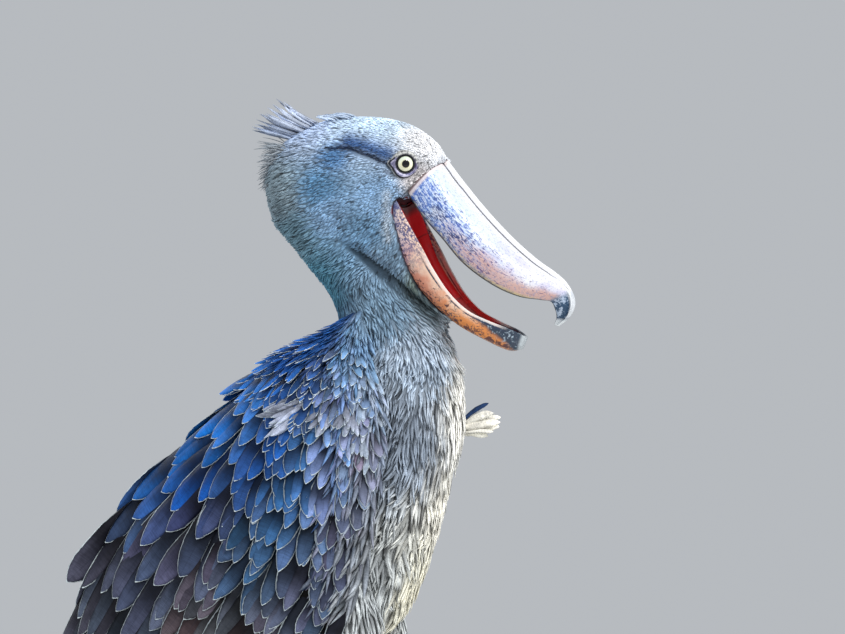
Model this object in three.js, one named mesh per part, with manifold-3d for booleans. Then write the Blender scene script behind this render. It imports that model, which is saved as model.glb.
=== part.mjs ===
// A shoebill standing on both feet, bill a little open, wings folded: a still model at life size.
// Millimetres. +X is forward along the bill, +Y is the bird's left, +Z is up, and the feet stand on Z = 0.
// The origin lies on the floor, under the middle of the bird's box.

import * as THREE from "three";
import { mergeVertices } from "three/addons/utils/BufferGeometryUtils.js";
import Module from "manifold-3d";

const wasm = await Module();
wasm.setup();

// Driving dimensions

const GAP = 0.3; // air between parts that touch
const FAR = 3000; // size of the blocks that part the body
const BOX_SHIFT = 14; // moves the middle of the bird's box over the origin

// The head and neck in side view: each station has its outer point on crown, nape and back of the neck,
// its inner point on face and throat, and its half width.
const HEAD = [
  { top: [166, 1112], low: [131, 1074], wide: 46 },
  { top: [157, 1126], low: [118, 1078], wide: 48 },
  { top: [143, 1147], low: [100, 1058], wide: 52 },
  { top: [112, 1167], low: [88, 1036], wide: 55 },
  { top: [68, 1176], low: [80, 1018], wide: 57 },
  { top: [18, 1173], low: [72, 1006], wide: 57 },
  { top: [-26, 1153], low: [66, 998], wide: 56 },
  { top: [-52, 1122], low: [66, 988], wide: 55 },
  { top: [-56, 1084], low: [76, 972], wide: 53 },
  { top: [-46, 1050], low: [92, 952], wide: 50 },
];
const NECK = [
  { top: [-52, 1092], low: [68, 1034], wide: 54 },
  { top: [-42, 1050], low: [98, 998], wide: 52 },
  { top: [-15, 1013], low: [124, 970], wide: 52 },
  { top: [15, 974], low: [149, 944], wide: 56 },
  { top: [27, 940], low: [165, 918], wide: 67 },
  { top: [14, 902], low: [174, 880], wide: 84 },
];
// The feathered throat that hangs between the two halves of the lower bill.
const THROAT = [
  { top: [28, 1116], low: [14, 1050], wide: 30 },
  { top: [76, 1112], low: [42, 1024], wide: 48 },
  { top: [116, 1080], low: [69, 1008], wide: 52 },
  { top: [138, 1034], low: [96, 988], wide: 46 },
  { top: [144, 982], low: [121, 966], wide: 37 },
  { top: [166, 956], low: [146, 942], wide: 29 },
  { top: [184, 940], low: [172, 934], wide: 18 },
];
const CHEEK = 0.5; // how square the lower half of head and throat is: 1 is round
const HEAD_CUT = { x: 90, z: 985, slope: [0.61, 0.79] }; // plane under the throat, between head and neck
const TORSO = [
  { top: [62, 936], low: [118, 932], wide: 34 },
  { top: [25, 924], low: [168, 906], wide: 72 },
  { top: [-22, 894], low: [179, 866], wide: 92 },
  { top: [-62, 850], low: [179, 814], wide: 102 },
  { top: [-96, 804], low: [163, 755], wide: 105 },
  { top: [-124, 757], low: [147, 694], wide: 102 },
  { top: [-145, 708], low: [127, 636], wide: 94 },
  { top: [-158, 664], low: [86, 582], wide: 80 },
  { top: [-164, 628], low: [-18, 562], wide: 58 },
  { top: [-163, 604], low: [-84, 556], wide: 42 },
  { top: [-172, 580], low: [-122, 546], wide: 30 },
  { top: [-186, 556], low: [-146, 530], wide: 26 },
];
const TAIL_ROOT = { x: -144, z: 573, slope: [-0.55, -0.835] }; // plane between torso and tail

// The upper bill: ridge of the culmen, cutting edge below it, half width of the bill.
const BILL_UPPER = [
  { top: [157.1, 1125], low: [121, 1086], wide: 47 },
  { top: [176, 1100.5], low: [138, 1059], wide: 51 },
  { top: [203, 1068], low: [160, 1035], wide: 53 },
  { top: [234, 1035.5], low: [188, 1005], wide: 51 },
  { top: [262, 1011], low: [220, 981], wide: 44 },
  { top: [284, 995.5], low: [248, 968], wide: 35 },
  { top: [297, 984], low: [271, 964], wide: 23 },
  { top: [304.5, 971], low: [282, 962], wide: 14 },
  { top: [306.5, 957], low: [286, 954], wide: 10 },
  { top: [301, 945], low: [288, 944], wide: 6.5 },
  { top: [291, 937], low: [285, 937], wide: 3 },
];
// The lower bill: cutting edge, lower edge of its side, half width.
const BILL_LOWER = [
  { top: [107, 1080], low: [103, 1072], wide: 43 },
  { top: [116, 1064], low: [101, 1050], wide: 45 },
  { top: [126, 1046], low: [104, 1030], wide: 46 },
  { top: [140, 1021], low: [115, 1005], wide: 45.5 },
  { top: [153, 997], low: [130, 982], wide: 44 },
  { top: [170, 971.5], low: [152, 957], wide: 40 },
  { top: [190, 952], low: [177, 936], wide: 35 },
  { top: [213, 940], low: [204, 921], wide: 28 },
  { top: [237, 930], low: [231, 909], wide: 18 },
  { top: [251, 922], low: [246, 909], wide: 8 },
];
const CULMEN_RIDGE = 4; // half width of the ridge along the top of the bill
const GROOVE = 1.8; // depth of the groove beside the ridge
const BILL_WALL = 4.5; // thickness of the lower bill's side

const EYE = { x: 119, y: 40.5, z: 1121.6, radius: 13 };
const EYE_LOOK = [0.36, 0.92, -0.06]; // where the left eye looks
const LID = { opening: 10, wide: 18, root: 10, proud: 1.4 };

// The folded wing in three lines from shoulder to tip: the edge on the back, the bulge, the lower edge.
const WING_BACK = [
  [14, 28, 920], [-45, 22, 894], [-103, 14, 840], [-156, 7, 794], [-202, 5, 744],
  [-240, 5, 688], [-268, 5, 624], [-290, 8, 556], [-304, 12, 490], [-312, 16, 440],
];
const WING_SIDE = [
  [48, 84, 936], [18, 152, 884], [-8, 180, 806], [-46, 184, 724], [-96, 172, 652],
  [-146, 142, 588], [-196, 112, 532], [-238, 86, 490], [-272, 62, 456], [-302, 42, 436],
];
const WING_EDGE = [
  [84, 80, 902], [102, 100, 832], [100, 112, 740], [80, 116, 640], [38, 112, 566],
  [-30, 103, 520], [-105, 90, 488], [-175, 76, 466], [-240, 62, 446], [-294, 46, 432],
];
const WING_THICK = 15;

// Rows of feathers on the wing. Each row starts on the line from u to u at v, and lies along the wing.
const WING_ROWS = [
  { v: [0.6, 0.62], u: [0.1, 0.7], count: 6, long: [262, 150], wide: 38, turn: [0, 4] }, // primaries
  { v: [0.45, 0.47], u: [0.4, 0.95], count: 7, long: [215, 150], wide: 52, turn: [8, 2] }, // secondaries
  { v: [0.42, 0.46], u: [0.06, 0.34], count: 3, long: [215, 225], wide: 60, turn: [2, 6] }, // tertials
  { v: [0.35, 0.36], u: [0.42, 0.96], count: 6, long: [124, 102], wide: 52, turn: [6, 0] }, // great coverts
  { v: [0.25, 0.25], u: [0.45, 0.97], count: 6, long: [98, 84], wide: 47, turn: [4, 0] }, // median coverts
  { v: [0.15, 0.15], u: [0.5, 0.96], count: 5, long: [82, 72], wide: 46, turn: [4, 0] }, // small coverts
  { v: [0.34, 0.36], u: [0.05, 0.39], count: 3, long: [136, 132], wide: 62, turn: [0, 5] }, // scapulars
  { v: [0.24, 0.26], u: [0.07, 0.42], count: 3, long: [120, 116], wide: 62, turn: [0, 6] },
  { v: [0.14, 0.16], u: [0.09, 0.45], count: 3, long: [104, 98], wide: 58, turn: [0, 6] },
  { v: [0.05, 0.06], u: [0.14, 0.62], count: 3, long: [86, 78], wide: 54, turn: [0, 4] },
];
const ROLL = 8; // degrees by which a vane lies over its neighbour
const VANE_THICK = 2.2;
const VANE_SINK = 4;
const VANE_LIFT = 10;
const VANE_STOPS = [0, 0.4, 0.8, 1]; // where along a vane its sections lie
const VANE_SHAPE = [0.4, 0.96, 0.86, 0.22]; // its width there, as a share of the widest

const TAIL = { feathers: 10, long: 232, wide: 32, reach: 14, spread: 5, coverts: 5 };
const CREST = { rows: 5, across: 4, long: [64, 54], wide: 20, start: 0.58, end: 0.72, arc: 50 };
const CREST_RISE = [30, -10]; // degrees above level, of the front row and of the last
const CREST_ROLL = 30; // how far one feather is rolled against another
const CREST_TURN = 36; // how far the outer feathers turn their faces sideways
const NOSTRIL = { along: 0.09, long: 15, wide: 2.2, deep: 5 };
// Loose feathers that stand out from the breast: tip, half width.
const TUFT = [
  { tip: [197, -8, 848], half: 5 },
  { tip: [213, -12, 838], half: 9 },
  { tip: [208, -3, 824], half: 8 },
];
const TUFT_ROOT = [170, -6, 850];

const LEG = {
  hip: [14, 38, 668],
  thigh: [40, 52, 622],
  knee: [48, 57, 562],
  calf: [8, 60, 428],
  ankle: [-18, 63, 262],
  foot: [6, 66, 24],
};
const THIGH_RADII = [26, 44, 47, 39, 25, 19];
const TOE_JOINTS = 3;
// The toes: inner, middle, outer and hind one, each with its direction in degrees from forward.
const TOES = [
  { aim: -17, long: 138, thick: 9.5 },
  { aim: 2, long: 168, thick: 10.5 },
  { aim: 29, long: 146, thick: 9.5 },
  { aim: 172, long: 84, thick: 9 },
];
const CLAW = 22;

const COLOURS = {
  slate: { color: 0x75879d, roughness: 0.9 },
  blue: { color: 0x4a6285, roughness: 0.8 },
  pale: { color: 0xb9c0c6, roughness: 0.9 },
  horn: { color: 0xc9bfc2, roughness: 0.45 },
  flesh: { color: 0xb48a78, roughness: 0.5 },
  iris: { color: 0xe6e2a6, roughness: 0.1 },
  scale: { color: 0x4d545c, roughness: 0.6 },
};

// Small tools

const V3 = (x, y, z) => new THREE.Vector3(x, y, z);
const lerp = THREE.MathUtils.lerp;
const degrees = THREE.MathUtils.degToRad;
const Y_AXIS = V3(0, 1, 0);

// A seeded random number from 0 to 1, so that every build is alike.
function seeded(seed) {
  let state = seed;
  return () => {
    state = (state * 16807) % 2147483647;
    return state / 2147483647;
  };
}

function toManifold(geometry) {
  const bare = geometry.clone();
  bare.deleteAttribute("normal");
  bare.deleteAttribute("uv");
  const merged = mergeVertices(bare, 1e-4);
  const triVerts = new Uint32Array(merged.index.array);
  return new wasm.Manifold(
    new wasm.Mesh({ numProp: 3, vertProperties: merged.attributes.position.array, triVerts }),
  );
}

function toGeometry(solid) {
  const mesh = solid.getMesh();
  const geometry = new THREE.BufferGeometry();
  geometry.setAttribute("position", new THREE.BufferAttribute(new Float32Array(mesh.vertProperties), 3));
  geometry.setIndex(new THREE.BufferAttribute(new Uint32Array(mesh.triVerts), 1));
  return geometry;
}

// Rings of points, each as long as the others, skinned and closed with flat ends.
// Neighbouring quads are split in opposite ways, so that both faces of a thin vane are split alike.
function skin(rings) {
  const points = [];
  const index = [];
  const sides = rings[0].length;
  for (const ring of rings) {
    for (const p of ring) {
      points.push(p.x, p.y, p.z);
    }
  }
  const face = (a, b, c) => index.push(a, b, c);
  for (let i = 0; i + 1 < rings.length; i++) {
    for (let j = 0; j < sides; j++) {
      const a = i * sides + j;
      const b = i * sides + ((j + 1) % sides);
      const c = b + sides;
      const d = a + sides;
      if (j % 2 === 0) {
        face(a, b, c);
        face(a, c, d);
      } else {
        face(a, b, d);
        face(b, c, d);
      }
    }
  }
  const last = (rings.length - 1) * sides;
  for (let j = 1; j + 1 < sides; j++) {
    face(0, j + 1, j);
    face(last, last + j, last + j + 1);
  }
  const geometry = new THREE.BufferGeometry();
  geometry.setAttribute("position", new THREE.Float32BufferAttribute(points, 3));
  geometry.setIndex(index);
  const solid = toManifold(geometry);
  if (solid.volume() > 0) {
    return solid;
  }
  geometry.setIndex(index.reverse());
  return toManifold(geometry);
}

function union(solids) {
  return solids.reduce((whole, piece) => whole.add(piece));
}

// Keeps the largest closed surface of a fused piece.
function largest(solid) {
  return solid.decompose().reduce((best, piece) => (piece.volume() > best.volume() ? piece : best));
}

// A block that fills one side of a plane.
function halfSpace(point, normal, shift = 0) {
  const box = new THREE.BoxGeometry(FAR, FAR, FAR);
  box.translate(0, 0, FAR / 2);
  box.applyQuaternion(new THREE.Quaternion().setFromUnitVectors(V3(0, 0, 1), normal.clone().normalize()));
  const base = point.clone().addScaledVector(normal.clone().normalize(), shift);
  box.translate(base.x, base.y, base.z);
  return toManifold(box);
}

function smooth(list, pick) {
  const curve = new THREE.CatmullRomCurve3(list.map(pick), false, "catmullrom", 0.5);
  return (t) => curve.getPoint(THREE.MathUtils.clamp(t, 0, 1));
}

// Stations given by an upper and a lower point in side view and a half width, as smooth lines of t.
function profile(stations, grow = 0) {
  const top = smooth(stations, (s) => V3(s.top[0], 0, s.top[1]));
  const low = smooth(stations, (s) => V3(s.low[0], 0, s.low[1]));
  const wide = smooth(stations, (s) => V3(s.wide, 0, 0));
  return (t) => {
    const a = top(t);
    const b = low(t);
    const up = a.clone().sub(b).normalize();
    const ahead = top(t + 0.01).add(low(t + 0.01)).sub(top(t - 0.01)).sub(low(t - 0.01)).normalize();
    const end = t <= 0 ? -grow : t >= 1 ? grow : 0;
    a.addScaledVector(up, grow).addScaledVector(ahead, end);
    b.addScaledVector(up, -grow).addScaledVector(ahead, end);
    const middle = a.clone().add(b).multiplyScalar(0.5);
    return { top: a, low: b, up, middle, half: a.distanceTo(b) / 2, wide: wide(t).x + grow };
  };
}

// A round body through the stations of a profile. Under 1, boxy makes its lower half squarer.
function body(stations, count, sides, grow = 0, boxy = 1) {
  const at = profile(stations, grow);
  const rings = [];
  for (let i = 0; i < count; i++) {
    const s = at(i / (count - 1));
    const ring = [];
    for (let j = 0; j < sides; j++) {
      const angle = (2 * Math.PI * j) / sides;
      const point = s.middle.clone().addScaledVector(s.up, s.half * Math.sin(angle));
      const cosine = Math.cos(angle);
      const spread = Math.sign(cosine) * Math.abs(cosine) ** (Math.sin(angle) < 0 ? boxy : 1);
      ring.push(point.addScaledVector(Y_AXIS, s.wide * spread));
    }
    rings.push(ring);
  }
  return skin(rings);
}

// A round limb along points, with a radius at each.
function limb(points, radii, count, sides) {
  const line = smooth(points, (p) => p);
  const size = smooth(radii, (r) => V3(r, 0, 0));
  const rings = [];
  for (let i = 0; i < count; i++) {
    const t = i / (count - 1);
    const ahead = line(t + 0.01).sub(line(t - 0.01)).normalize();
    const across = V3(ahead.z, 0, -ahead.x).cross(ahead).normalize();
    const up = ahead.clone().cross(across);
    const ring = [];
    for (let j = 0; j < sides; j++) {
      const angle = (2 * Math.PI * j) / sides;
      const point = line(t).addScaledVector(across, size(t).x * Math.cos(angle));
      ring.push(point.addScaledVector(up, size(t).x * Math.sin(angle)));
    }
    rings.push(ring);
  }
  return skin(rings);
}

// A feather: a tapered vane with a ridge along its shaft. Its rings run left edge, ridge, right edge, belly.
// stations hold at, ahead and out (unit), half (half width) and lie (roll in radians).
function vane(stations, thick, camber) {
  const rings = stations.map((s, k) => {
    const side = s.ahead.clone().cross(s.out).normalize();
    const half = thick * (1 - (0.6 * k) / (stations.length - 1)) * 0.5;
    const edge = (sign) =>
      s.at
        .clone()
        .addScaledVector(side, sign * s.half * Math.cos(s.lie))
        .addScaledVector(s.out, s.half * (sign * Math.sin(s.lie) - camber));
    const ridge = s.at.clone().addScaledVector(s.out, half);
    const belly = s.at.clone().addScaledVector(s.out, -half);
    return [edge(-1), ridge, edge(1), belly];
  });
  return skin(rings);
}

// The folded wing's outer surface: u runs from the back edge to the lower edge, v from shoulder to tip.
const wingLines = [WING_BACK, WING_SIDE, WING_EDGE].map((line) => smooth(line, (p) => V3(...p)));

function wingAt(u, v) {
  const [back, bulge, edge] = wingLines.map((line) => line(v));
  return back
    .multiplyScalar((1 - u) * (1 - u))
    .addScaledVector(bulge, 2 * u * (1 - u))
    .addScaledVector(edge, u * u);
}

function wingFrame(u, v) {
  const step = 0.004;
  const cu = THREE.MathUtils.clamp(u, step, 1 - step);
  const cv = THREE.MathUtils.clamp(v, step, 1 - step);
  const du = wingAt(cu + step, cv).sub(wingAt(cu - step, cv)).divideScalar(2 * step);
  const dv = wingAt(cu, cv + step).sub(wingAt(cu, cv - step)).divideScalar(2 * step);
  return { at: wingAt(u, v), du, dv, out: du.clone().cross(dv).normalize() };
}

// A feather's line on the wing, traced from its root in short steps. Past the wing's edge it runs straight.
function wingTrace(u, v, turn, long) {
  const stops = [];
  let frame = wingFrame(u, v);
  let at = frame.at.clone();
  let ahead = frame.dv.clone().normalize().applyAxisAngle(frame.out, -degrees(turn));
  for (let k = 0; k < VANE_STOPS.length; k++) {
    stops.push({ at: at.clone(), ahead: ahead.clone(), out: frame.out.clone() });
    const stride = long * ((VANE_STOPS[k + 1] ?? 1) - VANE_STOPS[k]);
    const uu = frame.du.dot(frame.du);
    const vv = frame.dv.dot(frame.dv);
    const uv = frame.du.dot(frame.dv);
    const pu = ahead.dot(frame.du);
    const pv = ahead.dot(frame.dv);
    const det = uu * vv - uv * uv;
    u += (stride * (pu * vv - pv * uv)) / det;
    v += (stride * (pv * uu - pu * uv)) / det;
    if (u > 0.01 && u < 0.99 && v < 0.99) {
      frame = wingFrame(u, v);
      const next = frame.at.clone();
      ahead = next.clone().sub(at).normalize();
      at = next;
    } else {
      at = at.clone().addScaledVector(ahead, stride);
    }
  }
  return stops;
}

// One wing, made for the left side and turned over for the right.
function makeWing(side, clearance) {
  const random = seeded(side > 0 ? 11 : 29);
  const mirror = (p) => V3(p.x, p.y * side, p.z);
  const outer = [];
  const cells = 7;
  const lines = 11;
  for (let i = 0; i < lines; i++) {
    const v = lerp(0.02, 0.68, i / (lines - 1));
    const uMax = v < 0.46 ? 0.97 : lerp(0.97, 0.66, (v - 0.46) / 0.22);
    const ring = [];
    for (let j = 0; j <= cells; j++) {
      const frame = wingFrame(lerp(0.03, uMax, j / cells), v);
      ring.push(mirror(frame.at));
    }
    for (let j = cells; j >= 0; j--) {
      const frame = wingFrame(lerp(0.03, uMax, j / cells), v);
      const depth = 3.5 + WING_THICK * Math.sin((Math.PI * j) / cells) * (1 - 0.6 * v);
      ring.push(mirror(frame.at.addScaledVector(frame.out, -depth)));
    }
    outer.push(ring);
  }
  const pieces = [skin(outer)];
  for (const row of WING_ROWS) {
    for (let k = 0; k < row.count; k++) {
      const t = row.count > 1 ? k / (row.count - 1) : 0;
      const u = lerp(row.u[0], row.u[1], t);
      const v = lerp(row.v[0], row.v[1], t) + 0.008 * (random() - 0.5);
      const long = lerp(row.long[0], row.long[1], t) * (0.96 + 0.08 * random());
      const turn = lerp(row.turn[0], row.turn[1], t) + 3 * (random() - 0.5);
      const stops = wingTrace(u, v, turn, long);
      const stations = stops.map((s, i) => ({
        at: mirror(s.at.addScaledVector(s.out, lerp(-VANE_SINK, VANE_LIFT, VANE_STOPS[i] ** 0.65))),
        ahead: mirror(s.ahead),
        out: mirror(s.out),
        half: (row.wide / 2) * VANE_SHAPE[i],
        lie: degrees(ROLL),
      }));
      pieces.push(vane(stations, VANE_THICK, 0.1));
    }
  }
  const fused = union(pieces);
  const clear = fused.subtract(clearance).intersect(halfSpace(V3(0, side * GAP, 0), V3(0, side, 0)));
  return largest(clear);
}

// The tail: a flat root with its feathers in a shallow fan and a row of coverts over them.
function makeTail(root) {
  const ahead = V3(TAIL_ROOT.slope[0], 0, TAIL_ROOT.slope[1]).normalize();
  const out = ahead.clone().cross(Y_AXIS).multiplyScalar(-1);
  const start = V3(TAIL_ROOT.x, 0, TAIL_ROOT.z);
  const pieces = [root];
  const fan = (count, reach, long, wide, rise) => {
    for (let k = 0; k < count; k++) {
      const t = (2 * k) / (count - 1) - 1;
      const aim = ahead.clone().applyAxisAngle(out, -degrees(TAIL.spread * t));
      const base = start.clone().addScaledVector(ahead, 8).addScaledVector(Y_AXIS, reach * t);
      const stations = VANE_STOPS.map((s, i) => ({
        at: base.clone().addScaledVector(aim, long * s).addScaledVector(out, rise * s - 14 * t * t * s),
        ahead: aim,
        out,
        half: (wide / 2) * [0.5, 0.95, 1, 0.5][i],
        lie: degrees(ROLL) * (t < 0 ? 1 : -1) * Math.min(1, 3 * s),
      }));
      pieces.push(vane(stations, VANE_THICK, 0.04));
    }
  };
  fan(TAIL.feathers, TAIL.reach, TAIL.long, TAIL.wide, 0);
  fan(TAIL.coverts, TAIL.reach, TAIL.long * 0.45, TAIL.wide, 12);
  return largest(union(pieces));
}

// The shaggy crest on the back of the head, feather by feather: the front rows rise and curl up,
// the last ones lie level with the nape.
function crestFeathers() {
  const random = seeded(5);
  const at = profile(HEAD);
  const pieces = [];
  for (let row = 0; row < CREST.rows; row++) {
    const along = row / (CREST.rows - 1);
    for (let k = 0; k < CREST.across; k++) {
      const across = (2 * (k + 0.25 + 0.5 * (row % 2))) / CREST.across - 1 + 0.1 * (random() - 0.5);
      const s = at(lerp(CREST.start, CREST.end, along) + 0.01 * (random() - 0.5));
      const angle = degrees(90 - CREST.arc * across);
      const out = s.up.clone().multiplyScalar(Math.sin(angle)).addScaledVector(Y_AXIS, Math.cos(angle));
      const root = s.middle
        .clone()
        .addScaledVector(s.up, s.half * Math.sin(angle))
        .addScaledVector(Y_AXIS, s.wide * Math.cos(angle));
      const rise = degrees(lerp(...CREST_RISE, along) * (1 - 0.3 * across * across) + 12 * (random() - 0.5));
      const aim = V3(-Math.cos(rise), 0.35 * across + 0.12 * (random() - 0.5), Math.sin(rise)).normalize();
      const long = lerp(...CREST.long, along) * (0.82 + 0.3 * random()) * (1 - 0.2 * Math.abs(across));
      const roll = CREST_ROLL * (random() - 0.5);
      const lift = out.clone().addScaledVector(aim, -out.dot(aim)).normalize();
      const stations = [0, 0.4, 0.75, 1].map((f, i) => ({
        at: root.clone().addScaledVector(aim, long * f - 12).addScaledVector(lift, 12 * f * f - 5),
        ahead: aim,
        out: lift,
        half: (CREST.wide / 2) * [0.45, 1, 0.72, 0.1][i],
        lie: degrees(roll - CREST_TURN * across),
      }));
      pieces.push(vane(stations, 2.4, 0.3));
    }
  }
  return pieces;
}

// The upper bill, arched over a hollow palate, with a ridge and grooves on top and a hooked tip.
function makeBillUpper(grow = 0) {
  const at = profile(BILL_UPPER, grow);
  const rings = [];
  const count = 20;
  for (let i = 0; i < count; i++) {
    const t = i / (count - 1);
    const s = at(t);
    const h = 2 * s.half;
    const fade = THREE.MathUtils.clamp((0.68 - t) / 0.2, 0, 1);
    const ridge = Math.min(CULMEN_RIDGE, 0.4 * s.wide);
    const palate = 0.26 * h * fade;
    const half = [
      [ridge, h],
      [ridge + 1.6, h - GROOVE * fade - 0.02 * h],
      [Math.max(0.5 * s.wide, ridge + 2), 0.93 * h],
      [0.83 * s.wide, 0.73 * h],
      [s.wide, 0.4 * h],
      [0.98 * s.wide, 0.14 * h],
      [0.9 * s.wide, 0],
      [0.8 * s.wide, 0.03 * h],
      [0.4 * s.wide, 0.8 * palate],
    ];
    const section = [[0, h + 0.4], ...half, [0, palate], ...half.map(([y, z]) => [-y, z]).reverse()];
    rings.push(section.map(([y, z]) => s.low.clone().addScaledVector(s.up, z).addScaledVector(Y_AXIS, y)));
  }
  return skin(rings);
}

// The lower bill, a trough with its cutting edges up, shut at the tip. Filled, it is the room it takes
// out of the head, together with the mouth above it.
function makeBillLower(grow = 0, filled = false) {
  const at = profile(BILL_LOWER, grow);
  const rings = [];
  const count = 16;
  for (let i = 0; i < count; i++) {
    const t = i / (count - 1);
    const s = at(t);
    const h = 2 * s.half;
    const wall = Math.min(BILL_WALL, 0.3 * s.wide);
    const shut = THREE.MathUtils.smoothstep(t, 0.8, 0.98);
    const mouth = lerp(4, 60, THREE.MathUtils.smoothstep(t, 0, 0.3));
    const outside = [
      [s.wide * 0.4, -0.1 * h],
      [s.wide * 0.76, 0],
      [s.wide * 0.94, 0.22 * h],
      [s.wide * 1.01, 0.6 * h],
      [s.wide, h],
    ];
    const inside = [
      [s.wide - wall + 1, h],
      [s.wide - wall, lerp(0.8 * h, h, shut)],
      [s.wide * 0.76 - wall, lerp(0.38 * h, 0.98 * h, shut)],
      [s.wide * 0.42, lerp(0.16 * h, 0.96 * h, shut)],
    ];
    const rest = filled ? [[s.wide, h + mouth]] : inside;
    const half = [...outside, ...rest];
    const middle = filled ? h + mouth : lerp(0.12 * h, 0.95 * h, shut);
    const section = [[0, -0.12 * h], ...half, [0, middle], ...half.map(([y, z]) => [-y, z]).reverse()];
    rings.push(section.map(([y, z]) => s.low.clone().addScaledVector(s.up, z).addScaledVector(Y_AXIS, y)));
  }
  return skin(rings);
}

function ball(centre, radius) {
  const geometry = new THREE.SphereGeometry(radius, 14, 8);
  geometry.translate(centre.x, centre.y, centre.z);
  return toManifold(geometry);
}

// The lids: a low round mound about the line of sight, which the eyeball's socket opens.
function lidMound(side) {
  const look = V3(EYE_LOOK[0], EYE_LOOK[1] * side, EYE_LOOK[2]).normalize();
  const centre = V3(EYE.x, EYE.y * side, EYE.z);
  const across = V3(0, 0, 1).cross(look).normalize();
  const up = look.clone().cross(across);
  const rim = Math.sqrt(EYE.radius ** 2 - LID.opening ** 2);
  const outline = [
    [LID.wide, -LID.root],
    [LID.wide - 1.4, rim - 5],
    [LID.opening + 3.6, rim - 0.4],
    [LID.opening + 1.6, rim + LID.proud],
    [LID.opening, rim + 0.6],
  ];
  const sides = 16;
  const rings = outline.map(([radius, reach]) => {
    const ring = [];
    for (let j = 0; j < sides; j++) {
      const angle = (2 * Math.PI * j) / sides;
      const point = centre.clone().addScaledVector(look, reach);
      point.addScaledVector(across, radius * Math.cos(angle));
      ring.push(point.addScaledVector(up, radius * Math.sin(angle)));
    }
    return ring;
  });
  return skin(rings);
}

// The slit of a nostril, cut into the groove beside the ridge of the bill.
function nostril(side) {
  const at = profile(BILL_UPPER);
  const points = [-0.5, 0, 0.5].map((f) => {
    const s = at(NOSTRIL.along + 0.06 * f);
    return s.top.clone().addScaledVector(Y_AXIS, side * (CULMEN_RIDGE + 3));
  });
  const start = points[0].clone().lerp(points[2], 0.5);
  const ahead = points[2].clone().sub(points[0]).normalize();
  const ends = [-0.5, -0.25, 0.25, 0.5].map((f) => start.clone().addScaledVector(ahead, NOSTRIL.long * f));
  return limb(ends, [0.4, NOSTRIL.wide, NOSTRIL.wide, 0.4], 6, 6);
}

// A foot: three toes forward and one back, each with swollen joints and a curved claw, flat underneath.
function makeFoot(side) {
  const [fx, fy] = LEG.foot;
  const pieces = [ball(V3(fx, fy * side, 15), 17)];
  for (const toe of TOES) {
    const angle = degrees(toe.aim) * side;
    const aim = V3(Math.cos(angle), Math.sin(angle), 0);
    const points = [];
    const radii = [];
    for (let k = 0; k <= 2 * TOE_JOINTS; k++) {
      const t = k / (2 * TOE_JOINTS);
      const radius = toe.thick * lerp(1, 0.62, t) * (k % 2 === 0 ? 1.08 : 0.9);
      points.push(V3(fx, fy * side, radius - 1.2 + 6 * (1 - t) ** 3).addScaledVector(aim, toe.long * t));
      radii.push(radius);
    }
    pieces.push(limb(points, radii, 2 * TOE_JOINTS + 1, 6));
    const tip = points[points.length - 1];
    const claw = [0, 0.35, 0.7, 1].map((t) =>
      tip.clone().addScaledVector(aim, CLAW * t - 3).add(V3(0, 0, 3 * Math.sin(Math.PI * t) - 3.4 * t + 0.5)),
    );
    pieces.push(limb(claw, [4.6, 4, 2.8, 0.8], 4, 5));
  }
  const whole = union(pieces).intersect(halfSpace(V3(0, 0, 0), V3(0, 0, 1)));
  const foot = legPoint("foot", side);
  const up = legPoint("ankle", side).sub(foot).normalize();
  return largest(whole.subtract(halfSpace(foot, up, -GAP / 2)));
}

function legPoint(name, side) {
  const [x, y, z] = LEG[name];
  return V3(x, y * side, z);
}

// Bare shank: the lower drumstick, the thick ankle joint and the long shank down to the foot.
function makeShank(side) {
  const calf = legPoint("calf", side);
  const ankle = legPoint("ankle", side);
  const foot = legPoint("foot", side);
  const upper = calf.clone().lerp(ankle, 0.5);
  const middle = ankle.clone().lerp(foot, 0.5);
  const joint = [ankle.clone().lerp(calf, 0.16), ankle, ankle.clone().lerp(foot, 0.14)];
  const points = [calf, upper, ...joint, middle, foot];
  const shank = limb(points, [15, 12, 15, 18, 13, 9.5, 14], 18, 12);
  const up = ankle.clone().sub(foot).normalize();
  const down = ankle.clone().sub(calf).normalize();
  return shank
    .intersect(halfSpace(foot, up, GAP / 2))
    .intersect(halfSpace(calf.clone().lerp(ankle, 0.06), down, GAP / 2));
}

function makeThigh(side, torsoRoom) {
  const hip = legPoint("hip", side);
  const thigh = legPoint("thigh", side);
  const knee = legPoint("knee", side);
  const calf = legPoint("calf", side);
  const ankle = legPoint("ankle", side);
  const end = calf.clone().lerp(ankle, 0.06);
  const points = [hip, thigh, knee, knee.clone().lerp(calf, 0.5), calf, end.clone().lerp(ankle, 0.1)];
  const down = ankle.clone().sub(calf).normalize();
  const feathered = limb(points, THIGH_RADII, 13, 16);
  return largest(feathered.subtract(torsoRoom).subtract(halfSpace(end, down, -GAP / 2)));
}

// The room that a thigh takes out of the wing beside it.
function thighRoom(side) {
  const knee = legPoint("knee", side);
  const below = knee.clone().lerp(legPoint("calf", side), 0.5);
  const radii = THIGH_RADII.slice(0, 4).map((radius) => radius + 2 * GAP);
  return limb([legPoint("hip", side), legPoint("thigh", side), knee, below], radii, 10, 16);
}

// Loose feathers at the front of the breast, with their roots in the body.
function tuftFeathers() {
  return TUFT.map(({ tip, half }) => {
    const root = V3(...TUFT_ROOT);
    const reach = V3(...tip).sub(root);
    const ahead = reach.clone().normalize();
    const out = Y_AXIS.clone().negate().addScaledVector(ahead, ahead.y).normalize();
    const stations = [0, 0.35, 0.75, 1].map((f, i) => ({
      at: root.clone().addScaledVector(reach, f),
      ahead,
      out,
      half: half * [0.6, 1, 0.8, 0.12][i],
      lie: 0,
    }));
    return vane(stations, 1.6, 0.15);
  });
}

// Assembly

const group = new THREE.Group();
group.position.x = BOX_SHIFT;

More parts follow.
